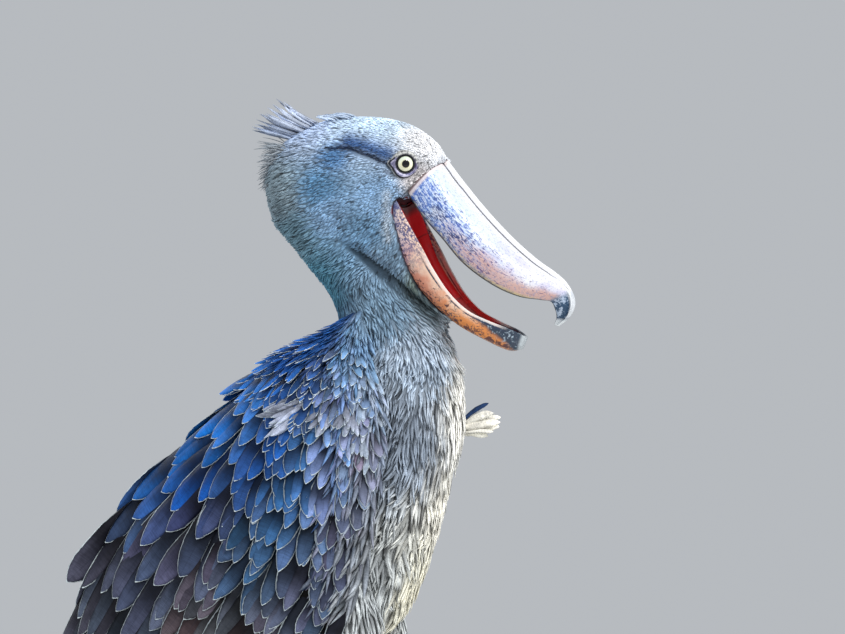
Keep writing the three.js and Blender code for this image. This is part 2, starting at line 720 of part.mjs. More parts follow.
function addNode(name, solid, finish) {
  const material = new THREE.MeshStandardMaterial({ ...COLOURS[finish], metalness: 0 });
  const mesh = new THREE.Mesh(toGeometry(solid), material);
  mesh.name = name;
  group.add(mesh);
}

const torsoRoom = body(TORSO, 18, 22, GAP + 0.1);
const tailPlane = [V3(TAIL_ROOT.x, 0, TAIL_ROOT.z), V3(TAIL_ROOT.slope[0], 0, TAIL_ROOT.slope[1])];
const headPlane = [V3(HEAD_CUT.x, 0, HEAD_CUT.z), V3(HEAD_CUT.slope[0], 0, HEAD_CUT.slope[1])];
const billBase = BILL_UPPER[0];
const billSlope = V3(billBase.top[1] - billBase.low[1], 0, billBase.low[0] - billBase.top[0]);
const billPlane = [V3(billBase.low[0], 0, billBase.low[1]), billSlope];

const wholeTorso = body(TORSO, 18, 22);
const frontTorso = wholeTorso.subtract(halfSpace(...tailPlane, -GAP / 2));
addNode("torso", largest(union([frontTorso, ...tuftFeathers()])), "slate");
addNode("tail", makeTail(wholeTorso.intersect(halfSpace(...tailPlane, GAP / 2))), "blue");

const neck = body(NECK, 12, 22).subtract(halfSpace(...headPlane, -GAP / 2)).subtract(torsoRoom);
addNode("neck", largest(neck), "slate");

const sockets = [1, -1].map((side) => ball(V3(EYE.x, EYE.y * side, EYE.z), EYE.radius + GAP));
const faceCut = halfSpace(billPlane[0], billPlane[1], -GAP / 2).subtract(
  halfSpace(V3(0, 0, billBase.low[1] - 6), V3(0, 0, -1)),
);
const face = union([body(HEAD, 20, 22, 0, CHEEK), body(THROAT, 10, 16, 0, CHEEK), lidMound(1), lidMound(-1)]);
let head = union([face, ...crestFeathers()]);
head = head.intersect(halfSpace(...headPlane, GAP / 2)).subtract(faceCut);
head = head.subtract(makeBillLower(GAP + 0.1, true)).subtract(union(sockets));
addNode("head", largest(head), "slate");

addNode("bill_upper", largest(makeBillUpper().subtract(union([nostril(1), nostril(-1)]))), "horn");
addNode("bill_lower", makeBillLower(), "flesh");
for (const [name, side] of [["left", 1], ["right", -1]]) {
  addNode("eye_" + name, ball(V3(EYE.x, EYE.y * side, EYE.z), EYE.radius), "iris");
  addNode("wing_" + name, makeWing(side, union([torsoRoom, thighRoom(side)])), "blue");
  addNode("thigh_" + name, makeThigh(side, torsoRoom), "pale");
  addNode("shank_" + name, makeShank(side), "scale");
  addNode("foot_" + name, makeFoot(side), "scale");
}

export default group;
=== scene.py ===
import math

import bpy
import numpy as np
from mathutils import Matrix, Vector
from mathutils.bvhtree import BVHTree
from mathutils.kdtree import KDTree


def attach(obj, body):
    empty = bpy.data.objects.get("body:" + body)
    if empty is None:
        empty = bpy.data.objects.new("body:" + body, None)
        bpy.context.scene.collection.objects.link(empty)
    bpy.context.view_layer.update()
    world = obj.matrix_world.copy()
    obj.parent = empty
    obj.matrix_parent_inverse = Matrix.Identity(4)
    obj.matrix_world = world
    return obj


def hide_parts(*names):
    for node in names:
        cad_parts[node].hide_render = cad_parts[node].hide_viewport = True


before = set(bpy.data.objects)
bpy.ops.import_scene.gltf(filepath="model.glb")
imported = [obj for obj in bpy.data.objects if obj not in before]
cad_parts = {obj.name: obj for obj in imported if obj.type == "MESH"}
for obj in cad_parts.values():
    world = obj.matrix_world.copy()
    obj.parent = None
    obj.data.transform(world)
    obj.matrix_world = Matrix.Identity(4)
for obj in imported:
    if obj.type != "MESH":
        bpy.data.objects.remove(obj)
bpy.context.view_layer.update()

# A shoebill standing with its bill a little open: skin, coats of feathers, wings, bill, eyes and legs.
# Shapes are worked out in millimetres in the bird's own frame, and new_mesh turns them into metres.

MM = 0.001
BOX_SHIFT = 14.0  # the row frame's origin lies this far behind the bird's own
UP = np.array([0.0, 0.0, 1.0])
LEFT = np.array([0.0, 1.0, 0.0])

# Side-view stations: outer point, inner point, half width
HEAD = [
    ((166, 1112), (131, 1074), 46),
    ((157, 1126), (118, 1078), 48),
    ((143, 1147), (100, 1058), 52),
    ((112, 1167), (88, 1036), 55),
    ((68, 1176), (80, 1018), 57),
    ((18, 1173), (72, 1006), 57),
    ((-26, 1153), (66, 998), 56),
    ((-52, 1122), (66, 988), 55),
    ((-56, 1084), (76, 972), 53),
    ((-46, 1050), (92, 952), 50),
]
NECK = [
    ((-52, 1092), (68, 1034), 54),
    ((-42, 1050), (98, 998), 52),
    ((-15, 1013), (124, 970), 52),
    ((15, 974), (149, 944), 56),
    ((27, 940), (165, 918), 67),
    ((14, 902), (174, 880), 84),
]
THROAT = [
    ((28, 1116), (14, 1050), 30),
    ((76, 1112), (42, 1024), 48),
    ((116, 1080), (69, 1008), 52),
    ((138, 1034), (96, 988), 46),
    ((144, 982), (121, 966), 37),
    ((166, 956), (146, 942), 29),
    ((184, 940), (172, 934), 18),
]
TORSO = [
    ((62, 936), (118, 932), 34),
    ((25, 924), (168, 906), 72),
    ((-22, 894), (179, 866), 92),
    ((-62, 850), (179, 814), 102),
    ((-96, 804), (163, 755), 105),
    ((-124, 757), (147, 694), 102),
    ((-145, 708), (127, 636), 94),
    ((-158, 664), (86, 582), 80),
    ((-164, 628), (-18, 562), 58),
    ((-163, 604), (-84, 556), 42),
    ((-172, 580), (-122, 546), 30),
    ((-186, 556), (-146, 530), 26),
]
CHEEK = 0.5  # how square the lower half of head and throat is

BILL_UPPER = [
    ((157.1, 1125), (121, 1086), 47),
    ((176, 1100.5), (141, 1058), 51),
    ((203, 1068), (163, 1034), 53),
    ((234, 1035.5), (188, 1005), 51),
    ((262, 1011), (220, 981), 44),
    ((284, 995.5), (248, 968), 35),
    ((297, 984), (271, 964), 23),
    ((304.5, 971), (282, 962), 14),
    ((306.2, 957), (286, 954), 10),
    ((300, 944), (287, 944.5), 5.5),
    ((288, 934.5), (283.5, 935.5), 1.8),
]
BILL_LOWER = [
    ((107, 1080), (103, 1072), 43),
    ((116, 1064), (101, 1050), 45),
    ((126, 1046), (104, 1030), 46),
    ((140, 1021), (115, 1005), 45.5),
    ((153, 997), (130, 982), 44),
    ((170, 971.5), (152, 957), 40),
    ((190, 952), (177, 936), 35),
    ((213, 940), (204, 921), 28),
    ((237, 930), (231, 909), 18),
    ((251, 922), (246, 909), 8),
]
CULMEN_RIDGE = 4.0
KEEL = 6.0
BILL_WALL = 4.5

EYE = np.array([117.4, 40.5, 1119.4])
EYE_RADIUS = 13.0
EYE_LOOK = np.array([0.36, 0.92, -0.06])
LID_OPENING = 9.9
EYE_HOLLOW = 5.4

WING_BACK = [
    (14, 28, 920), (-45, 22, 894), (-103, 14, 840), (-156, 7, 794), (-202, 5, 744),
    (-240, 5, 688), (-268, 5, 624), (-290, 8, 556), (-304, 12, 490), (-312, 16, 440),
]
WING_SIDE = [
    (48, 84, 936), (18, 152, 884), (-8, 180, 806), (-46, 184, 724), (-96, 172, 652),
    (-146, 142, 588), (-196, 112, 532), (-238, 86, 490), (-272, 62, 456), (-302, 42, 436),
]
WING_EDGE = [
    (84, 80, 902), (102, 100, 832), (100, 112, 740), (80, 116, 640), (38, 112, 566),
    (-30, 103, 520), (-105, 90, 488), (-175, 76, 466), (-240, 62, 446), (-294, 46, 432),
]
TAIL_START = np.array([-144.0, 0.0, 573.0])
TAIL_AHEAD = np.array([-0.55, 0.0, -0.835])

LEG = {
    "hip": (14, 38, 668),
    "thigh": (40, 52, 622),
    "knee": (48, 57, 562),
    "calf": (8, 60, 428),
    "ankle": (-18, 63, 262),
    "foot": (6, 66, 24),
}
THIGH_RADII = [26, 44, 47, 39, 25, 19]
SHANK_RADII = [15, 12, 15, 18, 13, 9.5, 14]
TOES = [(-17, 138, 9.5), (2, 168, 10.5), (29, 146, 9.5), (172, 84, 9)]  # aim, length, thickness
TOE_JOINTS = 3
CLAW = 21.6


# Small tools

def unit(v):
    v = np.asarray(v, float)
    return v / np.maximum(np.linalg.norm(v, axis=-1, keepdims=True), 1e-9)


def dot(a, b):
    return np.sum(a * b, axis=-1, keepdims=True)


def step(x, low, high):
    """Smooth step from 0 at low to 1 at high."""
    t = np.clip((np.asarray(x, float) - low) / (high - low), 0, 1)
    return t * t * (3 - 2 * t)


def mix(a, b, t):
    return a + (b - a) * t


def around(count):
    """Angles of count places round a ring."""
    return 2 * math.pi * np.arange(count) / count


def sided(name, side):
    return name + ("_left" if side > 0 else "_right")


def mirrored(points, side):
    return np.asarray(points, float) * np.array([1.0, side, 1.0])


def leg_point(name, side):
    return mirrored(LEG[name], side)


def side_view(point):
    return np.array([point[0], 0.0, point[1]])


def spline(points):
    """A smooth line through the points, as a function of t from 0 to 1 (uniform Catmull-Rom)."""
    p = np.asarray(points, float)
    p = p.reshape(len(p), -1)
    ext = np.vstack([2 * p[0] - p[1], p, 2 * p[-1] - p[-2]])
    last = len(p) - 1

    def at(t):
        s = np.clip(np.asarray(t, float), 0, 1) * last
        i = np.minimum(s.astype(int), last - 1)
        w = (s - i)[..., None]
        a, b, c, d = ext[i], ext[i + 1], ext[i + 2], ext[i + 3]
        slope_b, slope_c = (c - a) / 2, (d - b) / 2
        return (
            (2 * w**3 - 3 * w**2 + 1) * b
            + (w**3 - 2 * w**2 + w) * slope_b
            + (3 * w**2 - 2 * w**3) * c
            + (w**3 - w**2) * slope_c
        )

    return at


class Profile:
    """Stations in side view as smooth lines of t, with the frame of each cross-section."""

    def __init__(self, stations, grow=0.0):
        self.top_line = spline([side_view(s[0]) for s in stations])
        self.low_line = spline([side_view(s[1]) for s in stations])
        self.wide_line = spline([[s[2]] for s in stations])
        self.grow = grow

    def middle(self, t):
        return (self.top_line(t) + self.low_line(t)) / 2

    def __call__(self, t):
        t = np.asarray(t, float)
        top, low = self.top_line(t), self.low_line(t)
        up = unit(top - low)
        ahead = unit(self.middle(t + 0.01) - self.middle(t - 0.01))
        end = np.where(t <= 0, -self.grow, np.where(t >= 1, self.grow, 0.0))[..., None]
        top = top + up * self.grow + ahead * end
        low = low - up * self.grow + ahead * end
        half = np.linalg.norm(top - low, axis=-1, keepdims=True) / 2
        wide = self.wide_line(t) + self.grow
        return {"low": low, "up": up, "middle": (top + low) / 2, "half": half, "wide": wide}


def body_rings(stations, count, sides, boxy=1.0):
    """Rings of a form alike left and right. boxy makes the lower half square."""
    s = Profile(stations)(np.linspace(0, 1, count))
    sine, cosine = np.sin(around(sides)), np.cos(around(sides))
    spread = np.sign(cosine) * np.abs(cosine) ** np.where(sine < 0, boxy, 1.0)
    return (
        s["middle"][:, None]
        + (s["up"] * s["half"])[:, None] * sine[None, :, None]
        + LEFT * s["wide"][:, None] * spread[None, :, None]
    )


def limb_rings(points, radii, count, sides, shape=None):
    """Rings of a round limb. shape(t, angle) may swell it."""
    line, size = spline(points), spline([[r] for r in radii])
    t, angle = np.linspace(0, 1, count), around(sides)
    ahead = unit(line(t + 0.01) - line(t - 0.01))
    across = unit(np.cross(np.cross(LEFT, ahead), ahead))
    up = np.cross(ahead, across)
    swell = np.ones((count, sides)) if shape is None else shape(t[:, None], angle[None, :])
    radius = (size(t) * swell)[..., None]
    return (
        line(t)[:, None]
        + across[:, None] * radius * np.cos(angle)[None, :, None]
        + up[:, None] * radius * np.sin(angle)[None, :, None]
    )


def ball_rings(centre, radius, rings=18, sides=28, axis=UP):
    """A ball as a loft round its axis, with small flat ends."""
    across = unit(np.cross([0.0, 0.0, 1.0] if abs(axis[2]) < 0.9 else [1.0, 0.0, 0.0], axis))
    polar = np.linspace(0.02, math.pi - 0.02, rings)[:, None, None]
    angle = around(sides)[:, None]
    round_ = across * np.cos(angle) + np.cross(axis, across) * np.sin(angle)
    return centre + radius * (np.sin(polar) * round_ - np.cos(polar) * axis)


def tube_faces(rings, sides):
    """Quads round a stack of rings, and the two end caps."""
    i = np.arange(rings - 1)[:, None] * sides
    j = np.arange(sides)[None, :]
    k = (j + 1) % sides
    quads = np.stack([i + j, i + k, i + k + sides, i + j + sides], -1).reshape(-1, 4)
    return quads, np.arange(sides)[::-1], np.arange(sides) + (rings - 1) * sides


def closed(rings):
    """Vertices and faces of one closed loft."""
    count, sides = rings.shape[:2]
    quads, first, last = tube_faces(count, sides)
    return rings.reshape(-1, 3), [*quads.tolist(), first.tolist(), last.tolist()]


def joined(lofts):
    """Vertices and faces of several closed lofts together."""
    verts, faces, start = [], [], 0
    for rings in lofts:
        v, f = closed(rings)
        faces += [[i + start for i in face] for face in f]
        verts.append(v)
        start += len(v)
    return np.vstack(verts), faces


def row_frame(points):
    """Millimetres of the bird's own frame as a flat list of metres of the row frame."""
    return ((np.asarray(points, float) + [BOX_SHIFT, 0, 0]) * MM).astype(np.float32).ravel()


def own_frame(points):
    """Metres of the row frame as millimetres of the bird's own frame."""
    return np.asarray(points, float) / MM - [BOX_SHIFT, 0, 0]


def store(mesh, name, values):
    """Keeps a vector for each vertex of a mesh."""
    layer = mesh.attributes.new(name, "FLOAT_VECTOR", "POINT")
    layer.data.foreach_set("vector", np.asarray(values, np.float32).ravel())


def linked(name, data):
    obj = bpy.data.objects.new(name, data)
    bpy.context.scene.collection.objects.link(obj)
    return obj


def new_mesh(name, verts, faces, points=None, corners=None):
    """A mesh object. points holds vectors for its vertices, corners its UV maps by vertex."""
    mesh = bpy.data.meshes.new(name)
    mesh.vertices.add(len(verts))
    mesh.vertices.foreach_set("co", row_frame(verts))
    sizes = np.array([len(f) for f in faces])
    loops = np.concatenate([np.asarray(f) for f in faces]).astype(np.int32)
    mesh.loops.add(len(loops))
    mesh.loops.foreach_set("vertex_index", loops)
    mesh.polygons.add(len(sizes))
    starts = np.concatenate([[0], np.cumsum(sizes)[:-1]])
    mesh.polygons.foreach_set("loop_start", starts.astype(np.int32))
    mesh.update(calc_edges=True)
    mesh.validate()
    mesh.polygons.foreach_set("use_smooth", np.full(len(mesh.polygons), True))
    for key, value in (points or {}).items():
        store(mesh, key, value)
    for key, value in (corners or {}).items():
        layer = mesh.uv_layers.new(name=key)
        index = np.empty(len(mesh.loops), np.int32)
        mesh.loops.foreach_get("vertex_index", index)
        layer.data.foreach_set("uv", np.asarray(value, np.float32)[index].ravel())
    return linked(name, mesh)


def piece(obj, material, replaced=()):
    obj.data.materials.clear()
    obj.data.materials.append(material)
    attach(obj, "root")
    if replaced:
        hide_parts(*replaced)


def evaluated(obj):
    """The object's mesh with its modifiers applied."""
    graph = bpy.context.evaluated_depsgraph_get()
    return bpy.data.meshes.new_from_object(obj.evaluated_get(graph))


def vectors(mesh, field):
    """The place (co) or normal of each vertex."""
    out = np.empty(len(mesh.vertices) * 3, np.float32)
    mesh.vertices.foreach_get(field, out)
    return out.reshape(-1, 3).astype(float)


def modifier(obj, kind, **values):
    m = obj.modifiers.new(kind.lower(), kind)
    for key, value in values.items():
        setattr(m, key, value)


def surface_tree(points, faces):
    return BVHTree.FromPolygons([Vector(p) for p in points], faces)


def point_tree(points, chosen):
    """A search tree of the chosen points."""
    tree = KDTree(len(chosen))
    for i in chosen:
        tree.insert(Vector(points[i]), i)
    tree.balance()
    return tree


# Materials

class Field:
    """A value or colour in a shader. Arithmetic on it grows math nodes."""

    def __init__(self, shader, socket):
        self.shader, self.socket = shader, socket

    def __add__(self, other):
        return self.shader.math("ADD", self, other)

    def __sub__(self, other):
        return self.shader.math("SUBTRACT", self, other)

    def __mul__(self, other):
        return self.shader.math("MULTIPLY", self, other)

    def __truediv__(self, other):
        return self.shader.math("DIVIDE", self, other)

    def __abs__(self):
        return self.shader.math("ABSOLUTE", self, 0.0)

    def ramp(self, low, high, to_low=0.0, to_high=1.0):
        """A smooth step from to_low at low to to_high at high."""
        props = {"interpolation_type": "SMOOTHSTEP"}
        ends = {"i1": low, "i2": high, "i3": to_low, "i4": to_high}
        return self.shader.add("ShaderNodeMapRange", props, i0=self, **ends)


class Shader:
    """A material built from nodes. Its colour is laid up in layers."""

    def __init__(self, name, **constants):
        self.material = bpy.data.materials.new(name)
        self.material.use_nodes = True
        self.tree = self.material.node_tree
        self.tree.nodes.clear()
        out = self.tree.nodes.new("ShaderNodeOutputMaterial")
        self.bsdf = self.tree.nodes.new("ShaderNodeBsdfPrincipled")
        self.tree.links.new(self.bsdf.outputs[0], out.inputs[0])
        for key, value in constants.items():
            self.bsdf.inputs[key.replace("_", " ")].default_value = value
        self.where = self.add("ShaderNodeTexCoord", out="Object")

    def add(self, kind, props=None, out=0, **inputs):
        """A node's output. Inputs go by name, or as i0, i1, ... by number. A field is linked."""
        node = self.tree.nodes.new(kind)
        for key, value in (props or {}).items():
            setattr(node, key, value)
        for key, value in inputs.items():
            socket = node.inputs[int(key[1:]) if key[1:].isdigit() else key.replace("_", " ")]
            if isinstance(value, Field):
                self.tree.links.new(value.socket, socket)
            else:
                socket.default_value = value
        return Field(self, node.outputs[out])

    def math(self, op, a, b):
        return self.add("ShaderNodeMath", {"operation": op}, i0=a, i1=b)

    def mix(self, factor, a, b, blend="MIX"):
        props = {"data_type": "RGBA", "blend_type": blend, "clamp_factor": True}
        a, b = (tone if isinstance(tone, Field) else (*tone, 1.0) for tone in (a, b))
        return self.add("ShaderNodeMix", props, out=2, i0=factor, i6=a, i7=b)

    def lay(self, tone, amount, blend="MIX"):
        """Puts a tone over the colour so far."""
        self.colour = self.mix(amount, self.colour, tone, blend)

    def shade(self, amount):
        self.lay(self.vector(amount, amount, amount), 1.0, "MULTIPLY")

    def attribute(self, name):
        return self.add("ShaderNodeAttribute", {"attribute_name": name}, out="Vector")

    def split(self, vector):
        node = self.add("ShaderNodeSeparateXYZ", i0=vector).socket.node
        return [Field(self, output) for output in node.outputs]

    def numbers(self, name):
        return self.split(self.attribute(name))

    def vector(self, x, y, z=0.0):
        return self.add("ShaderNodeCombineXYZ", i0=x, i1=y, i2=z)

    def noise(self, scale, detail=3.0, rough=0.55, distort=0.0, where=None):
        place = self.where if where is None else where
        inputs = {"Scale": scale, "Detail": detail, "Roughness": rough, "Distortion": distort}
        return self.add("ShaderNodeTexNoise", Vector=place, **inputs)

    def finish(self, height=None, strength=0.4, distance=0.001, rough=None):
        self.tree.links.new(self.colour.socket, self.bsdf.inputs["Base Color"])
        if rough is not None:
            self.tree.links.new(rough.socket, self.bsdf.inputs["Roughness"])
        if height is not None:
            bump = self.add("ShaderNodeBump", Height=height, Strength=strength, Distance=distance)
            self.tree.links.new(bump.socket, self.bsdf.inputs["Normal"])
        return self.material


# Plumage colours by place: centre (x, distance from the middle plane, z), reach, colour
PLUMAGE = {
    "forehead": ((138, 24, 1148), 24, (0.86, 0.86, 0.88)),
    "crown": ((66, 20, 1170), 44, (0.62, 0.78, 0.95)),
    "crown_back": ((10, 24, 1168), 32, (0.5, 0.62, 0.84)),
    "temple": ((40, 48, 1130), 18, (0.09, 0.22, 0.43)),
    "lore": ((132, 44, 1104), 16, (0.66, 0.62, 0.62)),
    "ear": ((24, 54, 1092), 24, (0.11, 0.26, 0.44)),
    "ear_low": ((34, 54, 1064), 26, (0.21, 0.35, 0.53)),
    "face": ((92, 50, 1080), 24, (0.27, 0.44, 0.66)),
    "cheek": ((72, 52, 1040), 28, (0.15, 0.28, 0.43)),
    "jaw": ((92, 48, 1012), 24, (0.2, 0.31, 0.43)),
    "throat": ((140, 24, 975), 24, (0.12, 0.17, 0.18)),
    "gular": ((126, 36, 982), 12, (0.13, 0.17, 0.15)),
    "nape": ((-30, 40, 1084), 36, (0.23, 0.31, 0.36)),
    "nape_low": ((-14, 44, 1034), 34, (0.16, 0.28, 0.35)),
    "neck": ((90, 54, 956), 36, (0.2, 0.31, 0.42)),
    "neck_back": ((8, 36, 985), 36, (0.1, 0.28, 0.38)),
    "neck_base": ((70, 74, 918), 26, (0.15, 0.27, 0.42)),
    "chest": ((138, 52, 895), 46, (0.44, 0.53, 0.64)),
    "breast": ((122, 76, 820), 60, (0.28, 0.33, 0.4)),
    "keel": ((180, 0, 850), 56, (0.92, 0.9, 0.84)),
    "keel_low": ((166, 0, 745), 44, (0.88, 0.85, 0.76)),
    "belly": ((90, 72, 650), 70, (0.48, 0.51, 0.52)),
    "vent": ((120, 0, 650), 60, (0.9, 0.86, 0.7)),
    "mantle": ((-10, 40, 900), 60, (0.02, 0.08, 0.24)),
    "rump": ((-130, 40, 640), 70, (0.4, 0.43, 0.46)),
    "thigh": ((30, 60, 520), 80, (0.6, 0.62, 0.63)),
}
# Lines in side view (x, z)
BROW_FOLD = [(30, 1137), (44, 1138), (58, 1137), (71, 1131.5), (86, 1126), (99, 1120), (106, 1117)]
BROW_RIDGE = [(58, 1146), (86, 1137), (106, 1134), (126, 1135)]
BROW_PATCH = [(56, 1145), (78, 1139), (100, 1130)]
LORE_FOLD = [(101, 1110), (112, 1105), (124, 1107)]
THROAT_FOLD = [(58, 1023), (76, 1011), (108, 987), (139, 956), (160, 938)]
BILL_SIDE = [(102, 1086), (100, 1060), (103, 1036)]
# Marks of the plumage along such lines, and painted shade in the brow and throat folds: line, reach, colour,
# strength
MARKS_AND_FOLD_SHADE = [
    (BROW_PATCH, 11.5, (0.014, 0.085, 0.28), 0.92),
    # Painted shade in the brow furrow
    (BROW_FOLD, 3.0, (0.006, 0.016, 0.05), 0.97),
    (LORE_FOLD, 2.5, (0.05, 0.05, 0.09), 0.6),
    # Painted shade in the throat crease below the jaw
    (THROAT_FOLD, 3.0, (0.006, 0.012, 0.014), 0.96),
    (BILL_SIDE, 5.0, (0.6, 0.64, 0.68), 0.55),
]
COAT_DEPTH = {"face": 1.2, "head": 3.0, "body": 6.0}
# Folds of the skin along them: line, how far above it, depth (below 0 for a ridge), reach
FOLDS = [
    (BROW_FOLD, 0, 3.2, 3.2),
    (BROW_RIDGE, 0, -2.6, 6),
    (THROAT_FOLD, 0, 3.6, 3.4),
    (THROAT_FOLD, 12, -2.5, 8),
]
BILL_ROOT = np.array([139.0, 0.0, 1105.5])


def near_line(points, line, reach):
    """1 on a line of corners in side view, falling off with the distance from it."""
    flat, corners = points[:, [0, 2]], np.array(line, float)
    best = np.full(len(points), 1e9)
    for a, b in zip(corners[:-1], corners[1:]):
        along = np.clip((flat - a) @ (b - a) / ((b - a) @ (b - a)), 0, 1)
        best = np.minimum(best, np.linalg.norm(flat - (a + along[:, None] * (b - a)), axis=1))
    return np.exp(-((best / reach) ** 2))


def near_point(points, centre, reach):
    """The same for a point. The points of the right side count as if on the left."""
    return np.exp(-((np.linalg.norm(folded(points) - centre, axis=1) / reach) ** 2))


def folded(points):
    """The points with those of the right side mirrored to the left."""
    return np.stack([points[:, 0], np.abs(points[:, 1]), points[:, 2]], axis=1)


def blended(places, regions):
    """Colours at places, mixed from named regions that each have a centre, a reach and a colour."""
    total, colour = 0.0, 0.0
    for centre, reach, tone in regions.values():
        far = np.linalg.norm(places - centre, axis=1, keepdims=True) / reach
        weight = 1 / (0.02 + far**4)
        total = total + weight
        colour = colour + weight * np.array(tone)
    return colour / total


def off_middle(points):
    """0 near the middle plane, where the marks and folds of both sides would meet, and 1 beyond."""
    return step(np.abs(points[:, 1]), 12, 24)


def plumage(points):
    """The colour of the feathers at each point, with painted shade in the brow and throat folds."""
    p = folded(np.asarray(points, float))
    colour = blended(p, PLUMAGE)
    for line, reach, tone, strength in MARKS_AND_FOLD_SHADE:
        near = strength * off_middle(p) * near_line(p, line, reach)
        colour = mix(colour, np.array(tone), near[:, None])
    return colour


def face_far(points):
    return np.linalg.norm(points - BILL_ROOT, axis=1)


def coat_depth(points):
    head = mix(COAT_DEPTH["face"], COAT_DEPTH["head"], step(face_far(points), 45, 130))
    return mix(head, COAT_DEPTH["body"], step(1000 - points[:, 2], 0, 90))


# Skin

def half_sections(stations, ts, controls, grow=0.0, per=3):
    """Rings of a form that is alike left and right. controls(t, h, wide) gives half of each section
    as (y, z) pairs from the middle round to the middle again."""
    s = Profile(stations, grow)(ts)
    rings = []
    for i, t in enumerate(ts):
        half = np.array(controls(t, 2 * s["half"][i, 0], s["wide"][i, 0]), float)
        if per > 1:
            half = spline(half)(np.linspace(0, 1, per * (len(half) - 1) + 1))
        whole = np.vstack([half, (half * [-1, 1])[-2:0:-1]])
        rings.append(s["low"][i] + s["up"][i] * whole[:, 1:] + LEFT * whole[:, :1])
    return np.array(rings), s


def upper_controls(t, h, wide):
    """A keel runs along the top with a groove at its foot. Both fade out at the hook."""
    fade = min(1.0, max(0.0, (0.7 - t) / 0.2))
    ridge = min(CULMEN_RIDGE, 0.4 * wide)
    palate, low = 0.26 * h * fade, KEEL * fade
    beside = max(0.34 * wide, ridge + 5.5)
    keel = [
        (0, h + 0.5), (ridge * 0.7, h + 0.1), (ridge, h - 0.2 - 0.2 * low),
        (ridge + 0.6 + 0.4 * fade, h - 0.7 * low), (ridge + 1.6 + 0.2 * fade, h - low),
    ]
    side = [
        (ridge + 3.2, h - 0.86 * low - 0.01 * h), (beside, (0.965 - 0.065 * fade) * h),
        (max(0.5 * wide, beside + 1), (0.92 - 0.06 * fade) * h), (0.7 * wide, (0.84 - 0.04 * fade) * h),
        (0.85 * wide, 0.7 * h), (0.955 * wide, 0.54 * h), (wide, 0.38 * h), (0.995 * wide, 0.22 * h),
        (0.965 * wide, 0.08 * h),
    ]
    under = [
        (0.9 * wide, 0), (0.8 * wide, 0.03 * h), (0.6 * wide, 0.5 * palate), (0.3 * wide, 0.9 * palate),
        (0, palate),
    ]
    return keel + side + under


def lower_outside(h, wide):
    return [
        (0, -0.12 * h), (wide * 0.4, -0.1 * h), (wide * 0.76, 0), (wide * 0.94, 0.22 * h),
        (wide * 1.01, 0.6 * h),
    ]


def lower_controls(t, h, wide):
    """The lower bill as an open trough, which closes towards its tip."""
    wall = min(BILL_WALL, 0.3 * wide)
    shut = float(step(t, 0.8, 0.98))
    rim = [(wide, h - 0.6), (wide - 0.35 * wall, h), (wide - wall + 0.6, h - 0.8)]
    inside = [
        (wide - wall, mix(0.7 * h, h, shut)), (wide * 0.76 - wall, mix(0.38 * h, 0.98 * h, shut)),
        (wide * 0.42, mix(0.16 * h, 0.96 * h, shut)), (0, mix(0.12 * h, 0.95 * h, shut)),
    ]
    return lower_outside(h, wide) + rim + inside


def mouth_room(t, h, wide):
    """The lower bill filled up, with the mouth above it: the room that both take out of the head."""
    over = h + mix(4.0, 60.0, float(step(t, 0, 0.3)))
    return lower_outside(h, wide) + [(wide, h), (wide, over), (0, over)]


def room_rings(grow):
    return half_sections(BILL_LOWER, np.linspace(0, 1, 24), mouth_room, grow, 1)[0]


def thigh_points(side):
    p = {name: leg_point(name, side) for name in LEG}
    middle = mix(p["knee"], p["calf"], 0.5)
    end = mix(mix(p["calf"], p["ankle"], 0.06), p["ankle"], 0.1)
    return [p["hip"], p["thigh"], p["knee"], middle, p["calf"], end]


def eye_reach(points):
    """Distance from the line that the nearer eye looks along."""
    look = unit(EYE_LOOK)
    away = folded(points) - EYE
    along = away @ look
    return np.where(along > -12, np.linalg.norm(away - along[:, None] * look, axis=1), 99.0)


SKIN_CELL = 0.003  # of the remesh, in metres


def build_skin():
    lofts = [
        body_rings(HEAD, 60, 64, CHEEK), body_rings(THROAT, 40, 48, CHEEK), body_rings(NECK, 40, 64),
        body_rings(TORSO, 70, 72), *(limb_rings(thigh_points(side), THIGH_RADII, 40, 40) for side in (1, -1)),
    ]
    rough = new_mesh("skin_rough", *joined(lofts))
    modifier(rough, "REMESH", mode="VOXEL", voxel_size=SKIN_CELL)
    modifier(rough, "SMOOTH", factor=0.5, iterations=10)
    mesh = evaluated(rough)
    p, normal = own_frame(vectors(mesh, "co")), vectors(mesh, "normal")
    # The face ends flat, just inside the base of the bill.
    top, low = (side_view(s) for s in BILL_UPPER[0][:2])
    ahead = unit(np.array([top[2] - low[2], 0, low[0] - top[0]]))
    beyond = (p - low) @ ahead - 1.5
    face = (beyond > 0) & (p[:, 2] > low[2] - 6)
    p[face] -= beyond[face, None] * ahead
    fold = sum(depth * near_line(p - UP * above, line, reach) for line, above, depth, reach in FOLDS)
    fold = fold + EYE_HOLLOW * (1 - step(eye_reach(p), 14, 29))
    p -= normal * (coat_depth(p) + fold * off_middle(p))[:, None]
    mesh.vertices.foreach_set("co", row_frame(p))
    mesh.update()
    body = linked("skin", mesh)
    cutters = [new_mesh("room", *closed(room_rings(1.0)))]
    for side in (1, -1):
        cutters.append(new_mesh("socket", *closed(ball_rings(mirrored(EYE, side), EYE_RADIUS + 0.4))))
    for cutter in cutters:
        modifier(body, "BOOLEAN", operation="DIFFERENCE", object=cutter, solver="EXACT")
    final = evaluated(body)
    for spent in [rough, body, *cutters]:
        bpy.data.objects.remove(spent)
    return final


# The lie of the coat: points over the whole body with the way the feathers point there, and an unwrap

HEAD_LIE = np.array([-0.55, 0, -0.35])


